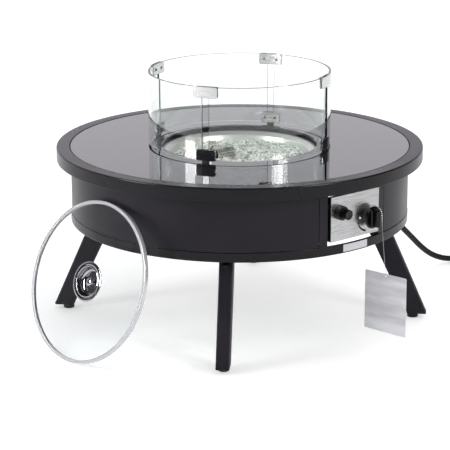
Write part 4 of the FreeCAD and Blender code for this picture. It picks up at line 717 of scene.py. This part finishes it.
def makePlate():
    half, sheet, deep, edge = control["width"] / 2, control["sheet"], control["depth"], control["edge"]
    tall, middle = control["top"] - control["bottom"], (control["top"] + control["bottom"]) / 2
    holes = [circle(control[key + "Hole"], control[key][0], control[key][1] - middle)
             for key in ("igniter", "knob")]
    face = cutSheet([roundedBox(half, tall / 2, control["corner"]), *holes], sheet, edge)
    wall = swapped(slab(deep + 1, tall - 1, sheet, 0, edge, 3, 3), [2, 1, 0])
    back = -deep / 2 - control["wallGap"]
    roof = swapped(slab(control["width"] - 1, deep - 0.6, sheet, 0, edge, 12, 3), [0, 2, 1])
    # the side walls are black: painted shade for the dark gap beside the plate
    parts = [(onPlate(face, 0, middle, -sheet / 2), plateGrey),
             (onPlate(wall, sheet / 2 - half, middle, back), frameBlackAndShade),
             (onPlate(wall, half - sheet / 2, middle, back), frameBlackAndShade),
             (onPlate(roof, 0, control["top"] - sheet / 2, -deep / 2 - 0.3), plateGrey),
             (onPlate(levelMark(), *control["knob"], mark["out"]), inkBlack)]
    addPiece("control_plate", parts, "plate_paint")


def levelMark():
    # a strip along an arc about the knob that widens from its thin end to its thick one
    a = np.radians(np.linspace(mark["start"], mark["end"], 40))[:, None]
    r = mark["radius"] + np.linspace(mark["thin"], mark["thick"], 40)[:, None] / 2 * np.array([-1, 1, 1, -1])
    level = np.broadcast_to([0.12, 0.12, -0.1, -0.1], r.shape)
    return lofted(np.stack([r * np.cos(a), r * np.sin(a), level], -1))


igniter = dict(radius=15.5, proud=13.5, barrel=12.8, deep=58, ribs=36, ribDepth=0.45, button=11, slack=0.12,
               reach=31.5, flutes=16, fluteDepth=0.95)


def makeIgniter():
    # the collar's radius dips by a fine rib pattern between its two plain ends
    proud, deep, b, r = (igniter[key] for key in ("proud", "deep", "barrel", "radius"))
    place, c = control["igniter"], igniter["button"] + igniter["slack"]
    out = [-deep, -deep, -0.1, 0, 0.8, 1.4, 12, 12.6, proud - 0.5, proud, proud, proud - 0.4, -9, -9]
    radius = [c + 0.6, b, b, r, r, r, r, r, r, r - 0.6, c + 0.5, c, c, c]
    dip = igniter["ribDepth"] * (0.5 - 0.5 * np.cos(igniter["ribs"] * roundAngles(igniter["ribs"] * 6)))
    rings = fluted(radius, [0, 0, 0, 0, 0, 1, 1, 0, 0, 0, 0, 0, 0, 0], dip, out)
    collar = outward(rings.reshape(-1, 3), [gridFaces(*rings.shape[:2], wrapRows=True, wrapColumns=True)])
    addPiece("igniter_collar", [(onPlate(collar, *place), collarBlack)], "grey_plastic", sharp=50)
    # the button's radius falls by a flute's depth where the angle meets a flute, and its face is dished
    b, end = igniter["button"], igniter["reach"]
    out = [-3, -3, 15, 15.6, end - 1.2, end - 0.4, end, end, end - 0.5, end - 0.7]
    radius = [0.3, b, b, b, b, b - 0.35, b - 1.2, b - 2.4, b - 4, 0.3]
    wave = np.clip(np.cos(igniter["flutes"] * roundAngles(igniter["flutes"] * 12)), 0, 1)
    dip = igniter["fluteDepth"] * wave ** 0.7
    button = lofted(fluted(radius, [0, 0, 0, 1, 1, 1, 0.5, 0, 0, 0], dip, out))
    addPiece("igniter_button", [(onPlate(button, *place), knobBlack)], "knob_plastic", "button", 40)


knob = dict(hub=9, start=5, hubLength=9.5, skirt=24.5, thick=4.5, gripWide=13, gripLong=19.5, gripHigh=17.5)


def makeKnob():
    hub, s, h = knob["hub"], knob["skirt"], knob["hubLength"]
    face = h + knob["thick"]
    corners = [(0, 0), (hub, 0), (hub, h), (s - 1, h), (s, h + 1), (s, face - 2.5), (s - 2.5, face),
               (s - 5, face - 0.5), (0, face - 0.8)]
    skirt = lathed(corners, [0, 0.4, 0.4, 0.8, 0.8, 1.2, 1.6, 1.5, 0], 6)
    # the grip's outline is a bar with ends on a circle; it spreads at its foot and draws in at its crown
    lift = np.array([-1.5, 0, 0.6, 1.6, 3, 6, 10, 13.5, 15.1, 16.3, 17.1, 17.5])
    grow = [2.0, 1.6, 0.9, 0.3, 0, -0.1, -0.25, -0.4, -0.8, -1.5, -2.6, -4.2]
    grip = stacked([gripOutline(g) for g in grow], lift + face)
    parts = [(onPlate(shape, *control["knob"], knob["start"]), knobBlack) for shape in (skirt, grip)]
    addPiece("control_knob", parts, "knob_plastic", "knob", 38)


def gripOutline(grow):
    # a bar whose corners are cut back to 0.45 of its half width over the last 0.07 of its half length
    half, long = knob["gripWide"] / 2 + grow, knob["gripLong"] + grow * 0.5
    quarter = np.array([(half, long * 0.93), (half * 0.45, long)])
    other = quarter[::-1] * [-1, 1]
    return eased(np.vstack([quarter, other, -quarter, -other]), 2.6, 5)


def crossHead(radius, height, recess):
    # a dome with a cross sunk in it: the depth is full where either of two bars covers the place
    r = radius * np.array([0.02, 0.14, 0.3, 0.44, 0.52, 0.6, 0.75, 0.9, 0.98, 1.0])[:, None]
    points = ringed(np.tile(r, 40), 0.0)
    x, y = np.abs(points[..., 0]), np.abs(points[..., 1])
    bar, end = radius * 0.16, radius * 0.55
    crossed = ((x < bar) & (y < end)) | ((y < bar) & (x < end))
    points[..., 2] = height * np.sqrt(1 - (r / radius) ** 2 * 0.85) - np.where(crossed, recess, 0)
    points[-1, :, 2] = 0
    return lofted(points)


def makeValveScrews():
    head = crossHead(3.3, 2.2, 0.9)
    shank = lathed([(0, -4.2), (1.9, -4.2), (1.9, 0.3), (0, 0.3)], 0.3, 3, 20)
    (across, up), reach = control["knob"], control["screwReach"]
    parts = [(onPlate(shape, x, up), polishedSteel) for x in (across - reach, across + reach)
             for shape in (head, shank)]
    addPiece("valve_screws", parts, "zinc_steel")


makePlate()
makeIgniter()
makeKnob()
makeValveScrews()
print("controls made")

# ---- fire bowl

bowl = dict(outer=173.8, seat=388.5, sheet=1.2, flange=6.8, slopeReach=10, slopeDrop=6.2, floorRadius=149,
            floor=350, hole=12.5)


def makePan():
    outer, seat, sheet = bowl["outer"], bowl["seat"], bowl["sheet"]
    flange, drop = outer - bowl["flange"], seat - bowl["slopeDrop"]
    slope = flange - bowl["slopeReach"]
    floor, low, hole = bowl["floorRadius"], bowl["floor"], bowl["hole"]
    corners = [(outer, seat), (outer, seat + sheet), (flange, seat + sheet), (slope, drop + sheet),
               (floor, low + sheet), (hole, low + sheet), (hole, low), (floor + sheet, low),
               (slope + sheet, drop), (flange + 0.4, seat)]
    reach = [0.4, 0.4, 2.5, 3, 6, 0.4, 0.4, 6, 3, 2.5]
    addPiece("burner_pan", [(lathed(corners, reach, 6, 192), panSteel)], "pan_steel")


hood = dict(x=-38.4, y=8, turn=46, radius=13, length=50, sheet=0.5, shadeLining=0.4, side=23.7, centre=375.2,
            columns=15, rows=27)
bed = dict(inner=15, outer=156, crown=369.5, edge=374.5, chips=2300, small=4.6, large=8.2, clearLong=39,
           clearWide=19, clearAlong=-3, clearMiddle=24, rough=0.22, deep=8.5, proud=2.5, baseInner=13.6)


def bedHeight(r):
    # flat in the middle and up along a straight line to the edge
    crown = bed["crown"]
    return np.interp(r, [0, 40, 110, bed["outer"]], [crown, crown, crown - 1, bed["edge"]])


def makeChips():
    # each chip is a ball of twelve corners, stretched by its own three lengths, with its corners pushed
    # about and all of it turned by its own random rotation; none lies over the hood or the middle
    n = bed["chips"]
    r = np.sqrt(rng.uniform(bed["inner"] ** 2, (bed["outer"] - 6) ** 2, n * 2))
    a = rng.uniform(0, 2 * np.pi, n * 2)
    place = np.stack([r * np.cos(a), r * np.sin(a)], -1)
    along, across = ((place - [hood["x"], hood["y"]]) @ aboutZ(hood["turn"])[:2, :2]).T
    clear = (np.abs(along - bed["clearAlong"]) > bed["clearLong"]) | (np.abs(across) > bed["clearWide"])
    clear &= r > bed["clearMiddle"]
    place, level = place[clear][:n], bedHeight(r[clear][:n])
    n = len(place)
    size = rng.uniform(bed["small"], bed["large"], (n, 1)) * rng.uniform(0.6, 1.15, (n, 3))
    sink = rng.uniform(0.5, bed["deep"], n)
    golden = (1 + 5 ** 0.5) / 2
    ball = np.array([(-1, golden, 0), (1, golden, 0), (-1, -golden, 0), (1, -golden, 0), (0, -1, golden),
                     (0, 1, golden), (0, -1, -golden), (0, 1, -golden), (golden, 0, -1), (golden, 0, 1),
                     (-golden, 0, -1), (-golden, 0, 1)]) / math.hypot(1, golden)
    hull = np.array([(0, 11, 5), (0, 5, 1), (0, 1, 7), (0, 7, 10), (0, 10, 11), (1, 5, 9), (5, 11, 4),
                     (11, 10, 2), (10, 7, 6), (7, 1, 8), (3, 9, 4), (3, 4, 2), (3, 2, 6), (3, 6, 8),
                     (3, 8, 9), (4, 9, 5), (2, 4, 11), (6, 2, 10), (8, 6, 7), (9, 8, 1)])
    corners = ball[None] * (1 + rng.uniform(-bed["rough"], bed["rough"], (n, 12, 1))) * size[:, None]
    spin, _ = np.linalg.qr(rng.normal(size=(n, 3, 3)))
    spin *= np.sign(np.linalg.det(spin))[:, None, None]
    corners = np.einsum("nij,nkj->nki", spin, corners)
    centre = np.column_stack([place, level - sink])
    over = (corners[:, :, 2] + centre[:, None, 2]).max(1) - level - bed["proud"]
    centre[:, 2] -= np.clip(over, 0, None)
    faces = (hull + 12 * np.arange(n)[:, None, None]).reshape(-1, 3)
    chips = ((corners + centre[:, None]).reshape(-1, 3), [faces])
    # under them a closed layer that fills the gaps, darker than the chips: painted shade between them
    inner, low = bed["baseInner"], bowl["floor"] + bowl["sheet"] + 0.3
    base = lathed([(inner, low), (148, low), (152.5, 368), (110, 361), (40, 362), (inner, 362)], 1, 3)
    addPiece("fire_glass", [(chips, chipGlass), (base, chipShade)], "glass_chips", sharp=5)


def hoodSheet(outer, thick, holed):
    # a strip that goes up one side, over a half circle and down the other: its y is the length along that
    # way, counted from the crown, and its z counts outwards
    r = outer - thick / 2
    bow = r * np.pi / 2
    xs = np.linspace(-hood["length"] / 2, hood["length"] / 2, hood["columns"] + 1)
    ys = np.linspace(-bow - hood["side"], bow + hood["side"], hood["rows"] + 1)
    row, column = np.arange(hood["rows"])[:, None], np.arange(hood["columns"])[None]
    hole = ((row % 4 == 1) & (column % 2 == 1)) | ((row % 4 == 3) & (column % 2 == 0))
    hole &= (column > 0) & (column < hood["columns"] - 1) & bool(holed)
    points, faces = cellPlate(xs, ys, ~hole, thick)
    way = np.clip(points[:, 1], -bow, bow)
    reach = r + points[:, 2]
    across = reach * np.sin(way / r)
    height = hood["centre"] + reach * np.cos(way / r) - np.abs(points[:, 1] - way)
    shape = outward(np.stack([points[:, 0], across, height], -1), faces)
    return moved(shape, shift=(hood["x"], hood["y"], 0), spin=hood["turn"])


def makeHood():
    # pierced steel over a black inner sheet, painted shade that stands for the dark inside of the hood
    steel = hoodSheet(hood["radius"], hood["sheet"], True)
    shadeLining = hoodSheet(hood["radius"] - hood["sheet"] - 0.05, hood["shadeLining"], False)
    addPiece("pilot_hood", [(steel, burnerSteel), (shadeLining, frameBlackAndShade)], "pan_steel")


makePan()
makeChips()
makeHood()
print("fire bowl made")

# ---- wind guard

guard = dict(radius=204.9, glass=5, gap=16, azimuth=-16.3, low=406.5, high=568.4, clip=25, sheet=2, fit=0.3,
             upper=56, lower=46, lowerLow=406, foot=15, footLow=401.7, block=5.8, screwAt=0.27)


def makeGuard():
    middle = guard["radius"] - guard["glass"] / 2
    gap = math.degrees(math.asin(guard["gap"] / 2 / guard["radius"]))
    tall = guard["high"] - guard["low"]
    pane = slab(math.radians(90 - 2 * gap) * middle, tall, guard["glass"], 2.5, 0.8, 56, 8)
    posts = [guard["azimuth"] + 90 * index for index in range(4)]
    for (side, _), azimuth in zip(sides, posts):
        shape = bent(pane, middle, azimuth + 45, guard["low"] + tall / 2)
        addPiece("guard_pane_" + side, [(shape, paneGlass)], "clear_glass", "guard", 40)
    low = guard["lowerLow"]
    foot = cushionedBlock(guard["foot"] / 2, 4.5, guard["footLow"], low + 0.5, 1.5, 0.5)
    feet = [(moved(foot, azimuth, (0, -middle, 0)), gasketRubber) for azimuth in posts]
    backs = []
    for level, start, look, slotName, extra in (
            ("upper", guard["high"] - guard["clip"] + 1, satinSteel, "clip_steel", []),
            ("lower", low, polishedSteel, "clip_polished", feet)):
        width, centre = guard[level], start + guard["clip"] / 2
        plate = slab(width, guard["clip"], guard["sheet"], 4, 0.7, 14, 3)
        fronts = [part for azimuth in posts for part in clipFront(plate, look, azimuth, centre)]
        addPiece(level + "_clips", fronts + extra, slotName, "guard", 30)
        backs += [part for azimuth in posts for part in clipBack(plate, width, azimuth, centre)]
    addPiece("clip_backs", backs, "clip_steel", "guard", 30)


def clipFront(plate, look, azimuth, centre):
    # outer plate laid on the glass, and the block in the gap between two panes
    block = slab(guard["gap"] - 3.2, guard["clip"] - 4, guard["block"], 1, 0.6, 5, 3)
    return [(bent(plate, guard["radius"] + guard["fit"] + guard["sheet"] / 2, azimuth, centre), look),
            (bent(block, guard["radius"] - guard["glass"] / 2 + 0.1, azimuth, centre), gasketRubber)]


def clipBack(plate, width, azimuth, centre):
    # inner plate with a screw towards each end
    inner = guard["radius"] - guard["glass"] - guard["fit"] - guard["sheet"]
    head = crossHead(3.4, 2, 0.8)
    turn = math.degrees(math.asin(width * guard["screwAt"] / inner))
    shift = (0, 0.02 - inner, centre)
    screws = [(moved(head, azimuth + way, shift, -90), shadedSteel) for way in (-turn, turn)]
    return [(bent(plate, inner + guard["sheet"] / 2, azimuth, centre), satinSteel), *screws]


makeGuard()
print("wind guard made")

# ---- lid that leans on the skin

lid = dict(radius=176, glass=4, sheet=1.1, depth=10.5, lip=7.4, azimuth=-40.3, across=-12.3, tilt=19.5,
           gap=0.3, cup=43.5, mouth=31.6, cupDeep=13, cupSheet=1.2, knob=9)


def onLid(shape):
    # the middle lies the radius times sine and half the depth times cosine of the tilt out from the
    # skin and its gap, and the radius times cosine and half the depth times sine above the ground
    tilt, half = math.radians(lid["tilt"]), lid["depth"] / 2
    out = skin["radius"] + lid["gap"] + lid["radius"] * math.sin(tilt) + half * math.cos(tilt)
    up = lid["radius"] * math.cos(tilt) + half * math.sin(tilt)
    return moved(shape, lid["azimuth"], (lid["across"], -out, up), 90 - lid["tilt"])


def makeLid():
    radius, half, sheet = lid["radius"], lid["glass"] / 2, lid["sheet"]
    edge, hole = radius - sheet - 0.1, lid["mouth"] + lid["cupSheet"] + 0.5
    addLid("lid_glass", [(hole, -half), (edge, -half), (edge, half), (hole, half)], 0.5, 4, 192, lidClear, 24)
    deep, lip, inner, grip = lid["depth"] / 2, radius - lid["lip"], radius - sheet, half + 0.1
    corners = [(radius, 0.8 - deep), (radius, deep - 0.8), (radius - 0.8, deep), (lip, deep - 0.8),
               (lip, grip), (inner, grip), (inner, -grip), (lip, -grip), (lip, 0.8 - deep),
               (radius - 0.8, -deep)]
    addLid("lid_band", corners, [1.2, 1.2, 1, 0.3, 0.2, 0.05, 0.05, 0.2, 0.3, 1], 5, 240, bandSteel, 36)
    mouth, rim, sheet, k = lid["mouth"], lid["cup"], lid["cupSheet"], lid["knob"]
    floor, flange = half - lid["cupDeep"], half + 0.1
    corners = [(2.6, floor - sheet), (mouth - 5, floor - sheet), (mouth - 0.6, floor + 3),
               (mouth + sheet, half - 1), (mouth + sheet, flange), (rim, flange), (rim, flange + 0.9),
               (rim - 0.9, flange + 1.9), (rim - 4.5, flange + 2.5), (mouth + 3, flange + 1.8),
               (mouth + 1, flange + 2.4), (mouth, flange + 1.6), (mouth - 1.8, floor + 3.6),
               (mouth - 5.6, floor), (2.6, floor)]
    reach = [0.1, 3, 2, 0.3, 0.2, 0.3, 0.5, 1, 2.5, 2.5, 0.9, 0.9, 3, 4, 0.1]
    addLid("lid_cup", corners, reach, 7, 128, shadedSteel, 50)
    corners = np.array([(0, -3.2), (4.4, -3.2), (4.4, -1.3), (2.5, -1.3), (2.5, 0.1), (5, 0.1), (4, 3),
                        (4.6, 5.4), (k - 1, 7), (k, 8.4), (k - 1, 10), (k - 4, 11.2), (0, 11.6)]) + [0, floor]
    addLid("lid_knob", corners, [0, 0.4, 0.2, 0.1, 0.1, 0.5, 2, 2, 1.4, 1.2, 1.6, 3, 0], 6, 56, shadedSteel, 50)


def addLid(node, corners, reach, curve, steps, look, sharp):
    slotName = "lid_clear_glass" if look is lidClear else "lid_steel"
    addPiece(node, [(onLid(lathed(corners, reach, curve, steps)), look)], slotName, "lid", sharp)


makeLid()
print("lid made")

# ---- hang tag and its bead chain

tag = dict(width=111.5, height=132, sheet=0.6, turn=53.2, across=52.7, top=179, out=421, corner=3, hole=2.2,
           holeDown=4.5, bead=1.2, pitch=4.2, wire=0.45, edge=0.12)


def controlPoint(across, out, up):
    return aboutZ(control["azimuth"]) @ [across, -out, up]


def knobPoint(across, out, up):
    x, y = control["knob"]
    return controlPoint(x + across, control["distance"] + out, y + up)


def beadChain(line, beadLook, rodLook, size=1.0):
    # a ball of eight by five faces on each place of the line, and a thin rod from each to the next
    lat = np.radians([-54, -18, 18, 54])[:, None]
    side = ringed(np.tile(np.cos(lat), 8), np.sin(lat)).reshape(-1, 3)
    ball = np.vstack([side, [0, 0, -1], [0, 0, 1]]) * tag["bead"]
    k, on = np.arange(8), np.roll(np.arange(8), -1)
    fans = np.vstack([np.stack([on, k, np.full(8, 32)], -1), np.stack([24 + k, 24 + on, np.full(8, 33)], -1)])
    lift = 34 * np.arange(len(line))[:, None, None]
    balls = (ball[None] * size + line[:, None]).reshape(-1, 3)
    way = np.diff(line, axis=0)
    way /= np.linalg.norm(way, axis=1)[:, None]
    first = np.cross(way, [0.31, 0.22, 0.93])
    first /= np.linalg.norm(first, axis=1)[:, None]
    second = np.cross(way, first)
    a = roundAngles(6)[None, :, None]
    hoop = tag["wire"] * (first[:, None] * np.cos(a) + second[:, None] * np.sin(a))
    rods = np.concatenate([hoop + line[:-1, None], hoop + line[1:, None]], 1).reshape(-1, 3)
    cell = gridFaces(2, 6, wrapColumns=True)
    cells = (cell[None] + 12 * np.arange(len(way))[:, None, None]).reshape(-1, 4)
    quads = gridFaces(4, 8, wrapColumns=True)
    beads = (balls, [(quads[None] + lift).reshape(-1, 4), (fans[None] + lift).reshape(-1, 3)])
    return [(beads, beadLook), ((rods, [cells]), rodLook)]


def makeTag():
    hole = controlPoint(tag["across"], tag["out"], tag["top"] - tag["holeDown"])
    high, turn = tag["height"] / 2, tag["turn"] - 90
    points, faces = cutSheet([roundedBox(tag["width"] / 2, high, tag["corner"]),
                              circle(tag["hole"], 0, high - tag["holeDown"], 24)], tag["sheet"], tag["edge"])
    points, faces = moved((points[:, [0, 2, 1]] * [1, -1, 1], faces), turn)
    card = (points + [hole[0], hole[1], tag["top"] - high], faces)
    addPiece("hang_tag", [(card, tagCard)], "card", "tag")
    end, over = knob["start"] + knob["hubLength"] + knob["thick"], knob["skirt"] + 2
    loop = [knobPoint(*p) for p in (
        (-6, 2.6, 13), (-13.5, 2.6, 5), (-12, 2.6, -8), (0, 2.6, -14), (12, 2.6, -8), (14, 2.6, 3),
        (10, 2.8, 15), (5.5, 5, over), (2.7, end - 3, over))]
    chain = beadChain(routeLine(loop, tag["pitch"]), zincSteel, zincSteel)
    addPiece("chain_loop", chain, "zinc_steel", sharp=60)
    front = aboutZ(turn) @ [0, -1, 0]
    face = end + knob["gripHigh"] + 3.4
    drop = [knobPoint(2.6, end - 0.2, over), knobPoint(2.3, face, over - 2.3),
            knobPoint(2.5, face + 0.6, -14), hole + front * 2.2 + [0, 0, 9],
            hole + front * 1.9 + [0, 0, 2.6], hole + [0, 0, 0.7]]
    line = routeLine(drop, tag["pitch"])
    # near the knob the beads are larger and near-white and their rods black: painted highlight and shade that
    # make the beads read as bright dots
    near = int(np.sum(line[:, 2] > control["knob"][1] - 6))
    glintBeads = beadChain(line[:near], beadGlint, leadBlack, 1.1)
    plain = beadChain(line[near - 1:], zincSteel, zincSteel, 0.6)
    addPiece("tag_chain", glintBeads + plain, "zinc_steel", "tag", 60)


makeTag()
print("tag made")

# ---- gas hose

hose = dict(radius=7, coil=84, pitch=14.8, x=592, y=384, start=97, turns=2.25, exit=(281, 214, 219),
            clip=(267, 203, 225), valve=(37, -24.2, 0))


def coilPoints(turns):
    # the radius shrinks by a pitch a turn, then grows again, and the height climbs by a pitch along a
    # smooth step in the half turn after the first
    turns = np.asarray(turns, float)
    inwards = np.where(turns < 1.25, turns, 2.5 - turns)
    radius = hose["coil"] - hose["pitch"] * inwards
    climb = np.clip((turns - 1) / 0.5, 0, 1)
    height = hose["radius"] + hose["pitch"] * climb ** 2 * (3 - 2 * climb)
    a = np.radians(hose["start"] - 360 * turns)
    return np.stack([hose["x"] + radius * np.cos(a), hose["y"] + radius * np.sin(a), height], -1)


def coilWay(turns):
    # the step between two near places over its own length
    way = coilPoints(turns + 0.0005) - coilPoints(turns - 0.0005)
    return way / np.linalg.norm(way)


def addHose(name, points, *replaces):
    data = bpy.data.curves.new(name, "CURVE")
    data.dimensions, data.use_fill_caps = "3D", True
    data.bevel_depth, data.bevel_resolution = hose["radius"] * mm, 6
    addSpline(data, np.asarray(points, float) * mm, 10)
    data.materials.append(hoseBlack)
    obj = addObject(name, data)
    bind(obj, "table", "hose_rubber", *replaces)
    return obj


def makeHose():
    leave, clip = np.array(hose["exit"], float), np.array(hose["clip"], float)
    down = (leave - clip) / np.linalg.norm(leave - clip)
    start = knobPoint(*hose["valve"])
    inner = [start, start + aboutZ(control["azimuth"]) @ [28, 0, 0], (335, -85, 281), (334, 0, 270),
             (296, 66, 263), (244.5, 135, 250), (242, 165, 241), clip - down * 18, leave]
    addHose("innerHose", inner, "inner_hose")
    enter, way = coilPoints(0.0), coilWay(0.0) * [1, 1, 0]
    fall = [leave, leave + down * 32, (334, 263, 175), (367, 301, 129), (396, 339, 89), (421, 371, 54),
            (450, 401, 26), (487, 432, 9), enter - way / np.linalg.norm(way) * 50]
    coil = coilPoints(np.arange(0, hose["turns"] * 16 + 1) / 16)
    step, tail = coilWay(hose["turns"]), [coil[-1]]
    turn = math.degrees(math.atan2(step[1], step[0]))
    for bend, rise, run in ((0, 0.4, 34), (-7, 3.8, 36), (-15, 0, 34)):
        tail.append(tail[-1] + aboutZ(turn + bend) @ [run, 0, 0] + [0, 0, rise])
    supply = addHose("supplyHose", [*fall, *coil, *tail[1:]], "supply_hose", "hose_coil", "hose_tail")
    regulator, nut = makeRegulator(tail[-1], turn + bend)


def makeRegulator(start, turn):
    # along x: ribbed sleeve over the hose's end, cast body, neck; upwards: the round housing and its vent
    def placed(shape, x=0.0, y=0.0, z=0.0):
        points, faces = moved((shape[0] + [x, y, z], shape[1]), turn)
        return points + start, faces

    middle = 29
    ribs = [[(9, r + 0.3), (9, r + 1.5), (8.2, r + 1.9), (8.2, r + 2.5)] for r in np.arange(6) * 2.5]
    sleeve = turned(np.concatenate([[(0, 0), (8.1, 0)], *ribs, [(9, 15.6), (9, 16), (0, 16)]]), 40)
    neck = lathed([(0, 43), (10, 43), (10, 52), (9, 53), (9, 66), (0, 66)], 0.5, 4, 40)
    housing = lathed([(0, 12), (30.5, 12), (32, 13.5), (32, 19), (30.4, 20), (32, 21), (32, 27), (22, 35.6),
                      (8, 36), (0, 36)], [0, 1, 1, 0.5, 0.4, 0.5, 2, 3, 1, 0], 6, 72)
    vent = lathed([(0, 34), (7, 34), (7, 41), (6, 42), (3, 42), (3, 40), (0, 40)], 0.5, 4, 32)
    lug = crossHead(2.6, 1.6, 0.7)
    parts = [(placed(swapped(sleeve, [2, 0, 1])), zincSteel),
             (placed(cushionedBlock(15, 14, -14, 14, 5, 2), middle), castGrey),
             (placed(housing, middle), castGrey), (placed(vent, middle), nutBlack),
             *[(placed(lug, middle + x, y, 30.4), zincSteel) for x, y in circle(27, 0, 0, 12)[1::2]],
             (placed(swapped(neck, [2, 0, 1])), brassLook)]
    regulator = addPiece("regulator", parts, "housing", name="gasRegulator")
    # the nut's radius dips along twelve grooves and its end tapers; the bore opens at its far end
    big = start[2]
    along = [65, 65, 66, 67, 69, 99, 102, 103, 107, 110.5, 111, 111, 110, 85, 85]
    radius = [10.4, big - 1.2, big - 0.3, big, big, big, big, big - 0.8, big - 6, 17.6, 17, 12.6, 12, 12, 0.4]
    dip = 1.8 * np.clip(np.cos(12 * roundAngles(144)), 0, 1) ** 1.5
    shape = lofted(fluted(radius, [0, 0, 0, 0, 1, 1, 0, 0, 0, 0, 0, 0, 0, 0, 0], dip, along)[..., [2, 0, 1]])
    nut = addPiece("tank_connector", [(placed(shape), nutBlack)], "nut_plastic", sharp=45, name="tankNut")
    return regulator, nut


makeHose()
print("hose made")

# ---- nodes whose CAD shape stays

carried = dict(glass_gasket=gasketRubber, top_frame=frameBlackAndShade, cross_frame=frameBlackAndShade,
               frame_screws=zincSteel, heat_shield=frameBlackAndShade, igniter_nut=collarBlack,
               igniter_battery=cellShell, valve_stem=brassLook, gas_valve=brassLook, burner_ring=burnerSteel,
               air_mixer=brassLook, spark_electrode=ceramicWhite, thermocouple=copperLook,
               inlet_fitting=brassLook, hose_clip=zincSteel, gas_tube=zincSteel, ignition_lead=leadBlack)
for name, look in carried.items():
    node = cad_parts[name]
    if not node.material_slots:
        node.data.materials.append(look)
    for place in node.material_slots:
        place.link = "OBJECT"
        place.material = look
print("nodes carried over:", len(carried))

# ---- floor, backdrop and light

studio = dict(floor=16, floorColor=(244, 244, 245), lift=0.42, back=1.3, front=0.34, dim=0.05, dimStart=-0.75,
              dimEnd=-0.4, dimTurn=25, mirrored=(0.965, 0.932, 1.0), glare=26,
              boxes=(dict(azimuth=-57.5, out=2.3, up=1.15, wide=0.56, tall=1.1, power=16),
                     dict(azimuth=51.5, out=2.3, up=1.45, wide=0.56, tall=1.1, power=16)))


def seenOnly(tree):
    # 1 for rays from the camera, a mirror or through glass, and 0 for the light that falls on things
    total = rayIs(tree, "Camera")
    for kind in ("Glossy", "Transmission"):
        total = addNode(tree, "Math", {0: total, 1: rayIs(tree, kind)}, operation="ADD", use_clamp=True)
    return total


def towardsCamera(tree, start, end, low, high, turn=0):
    # from low to high along a smooth step of the cosine between the ray and the way to the camera, or a
    # way that is turned from it
    way = tuple(aboutZ(camera["turn"] + turn) @ [0, 1, 0])
    ray = addNode(tree, "NewGeometry", {}, "Incoming")
    facing = addNode(tree, "VectorMath", {0: ray, 1: way}, "Value", operation="DOT_PRODUCT")
    return mapRange(tree, facing, start, end, low, high, interpolation_type="SMOOTHSTEP")


def surroundings(tree):
    # white in view; a mirror sees it a little violet, and towards the camera an unlit room
    dimmed = towardsCamera(tree, studio["dimStart"], studio["dimEnd"], 1, studio["dim"], studio["dimTurn"])
    room = addNode(tree, "Background", {"Color": (*studio["mirrored"], 1), "Strength": dimmed})
    white = addNode(tree, "Background", {"Color": (1, 1, 1, 1), "Strength": 1})
    return mixed(tree, rayIs(tree, "Camera"), room, white)


def addSoftbox(name, azimuth, out, up, wide, tall, power):
    # a lamp for the light, and before it a card that only mirrors see
    place = aboutZ(azimuth) @ [0, -out, up]
    data = bpy.data.lights.new(name, "AREA")
    data.shape, data.size, data.size_y, data.energy = "RECTANGLE", wide, tall, power
    lamp = addObject(name, data)
    lamp.location = place
    lamp.rotation_euler = (math.radians(90), 0, math.radians(azimuth))
    side, rise = aboutZ(azimuth) @ [wide / 2, 0, 0], np.array([0, 0, tall / 2])
    corners = place * [0.99, 0.99, 1] + np.array([-side - rise, side - rise, side + rise, rise - side])
    look = bpy.data.materials.new(name + "Card")
    look.use_nodes = True
    look.cycles.emission_sampling = "NONE"
    tree = look.node_tree
    glow = addNode(tree, "Emission", {"Strength": studio["glare"]})
    feedOutput(look, mixed(tree, rayIs(tree, "Glossy"), addNode(tree, "BsdfTransparent", {}), glow))
    addStage(name + "Card", corners.tolist(), look)


def addStage(name, corners, look):
    mesh = bpy.data.meshes.new(name)
    mesh.from_pydata(corners, [], [(0, 1, 2, 3)])
    mesh.materials.append(look)
    addObject(name, mesh)


def makeStudio():
    look = makeFinish("floorPaper", studio["floorColor"], 0.9, Specular_IOR_Level=0.1)
    tree, half = look.node_tree, studio["floor"]
    plain = tree.nodes["Principled BSDF"].outputs["BSDF"]
    glow = addNode(tree, "Emission", {"Strength": studio["lift"]})
    feedOutput(look, mixed(tree, seenOnly(tree), plain, addNode(tree, "AddShader", {0: plain, 1: glow})))
    addStage("floor", [(-half, -half, 0), (half, -half, 0), (half, half, 0), (-half, half, 0)], look)
    world = bpy.data.worlds.new("studio")
    bpy.context.scene.world = world
    world.use_nodes = True
    tree = world.node_tree
    soft = tree.nodes["Background"]
    feed(tree, towardsCamera(tree, -1, 1, studio["back"], studio["front"]), soft.inputs["Strength"])
    feed(tree, (1, 1, 1, 1), soft.inputs["Color"])
    light = mixed(tree, seenOnly(tree), soft.outputs["Background"], surroundings(tree))
    feed(tree, light, tree.nodes["World Output"].inputs["Surface"])
    for i, box in enumerate(studio["boxes"]):
        addSoftbox("softbox%d" % i, **box)


makeStudio()
bpy.context.scene.view_settings.view_transform = "Standard"
print("studio made")
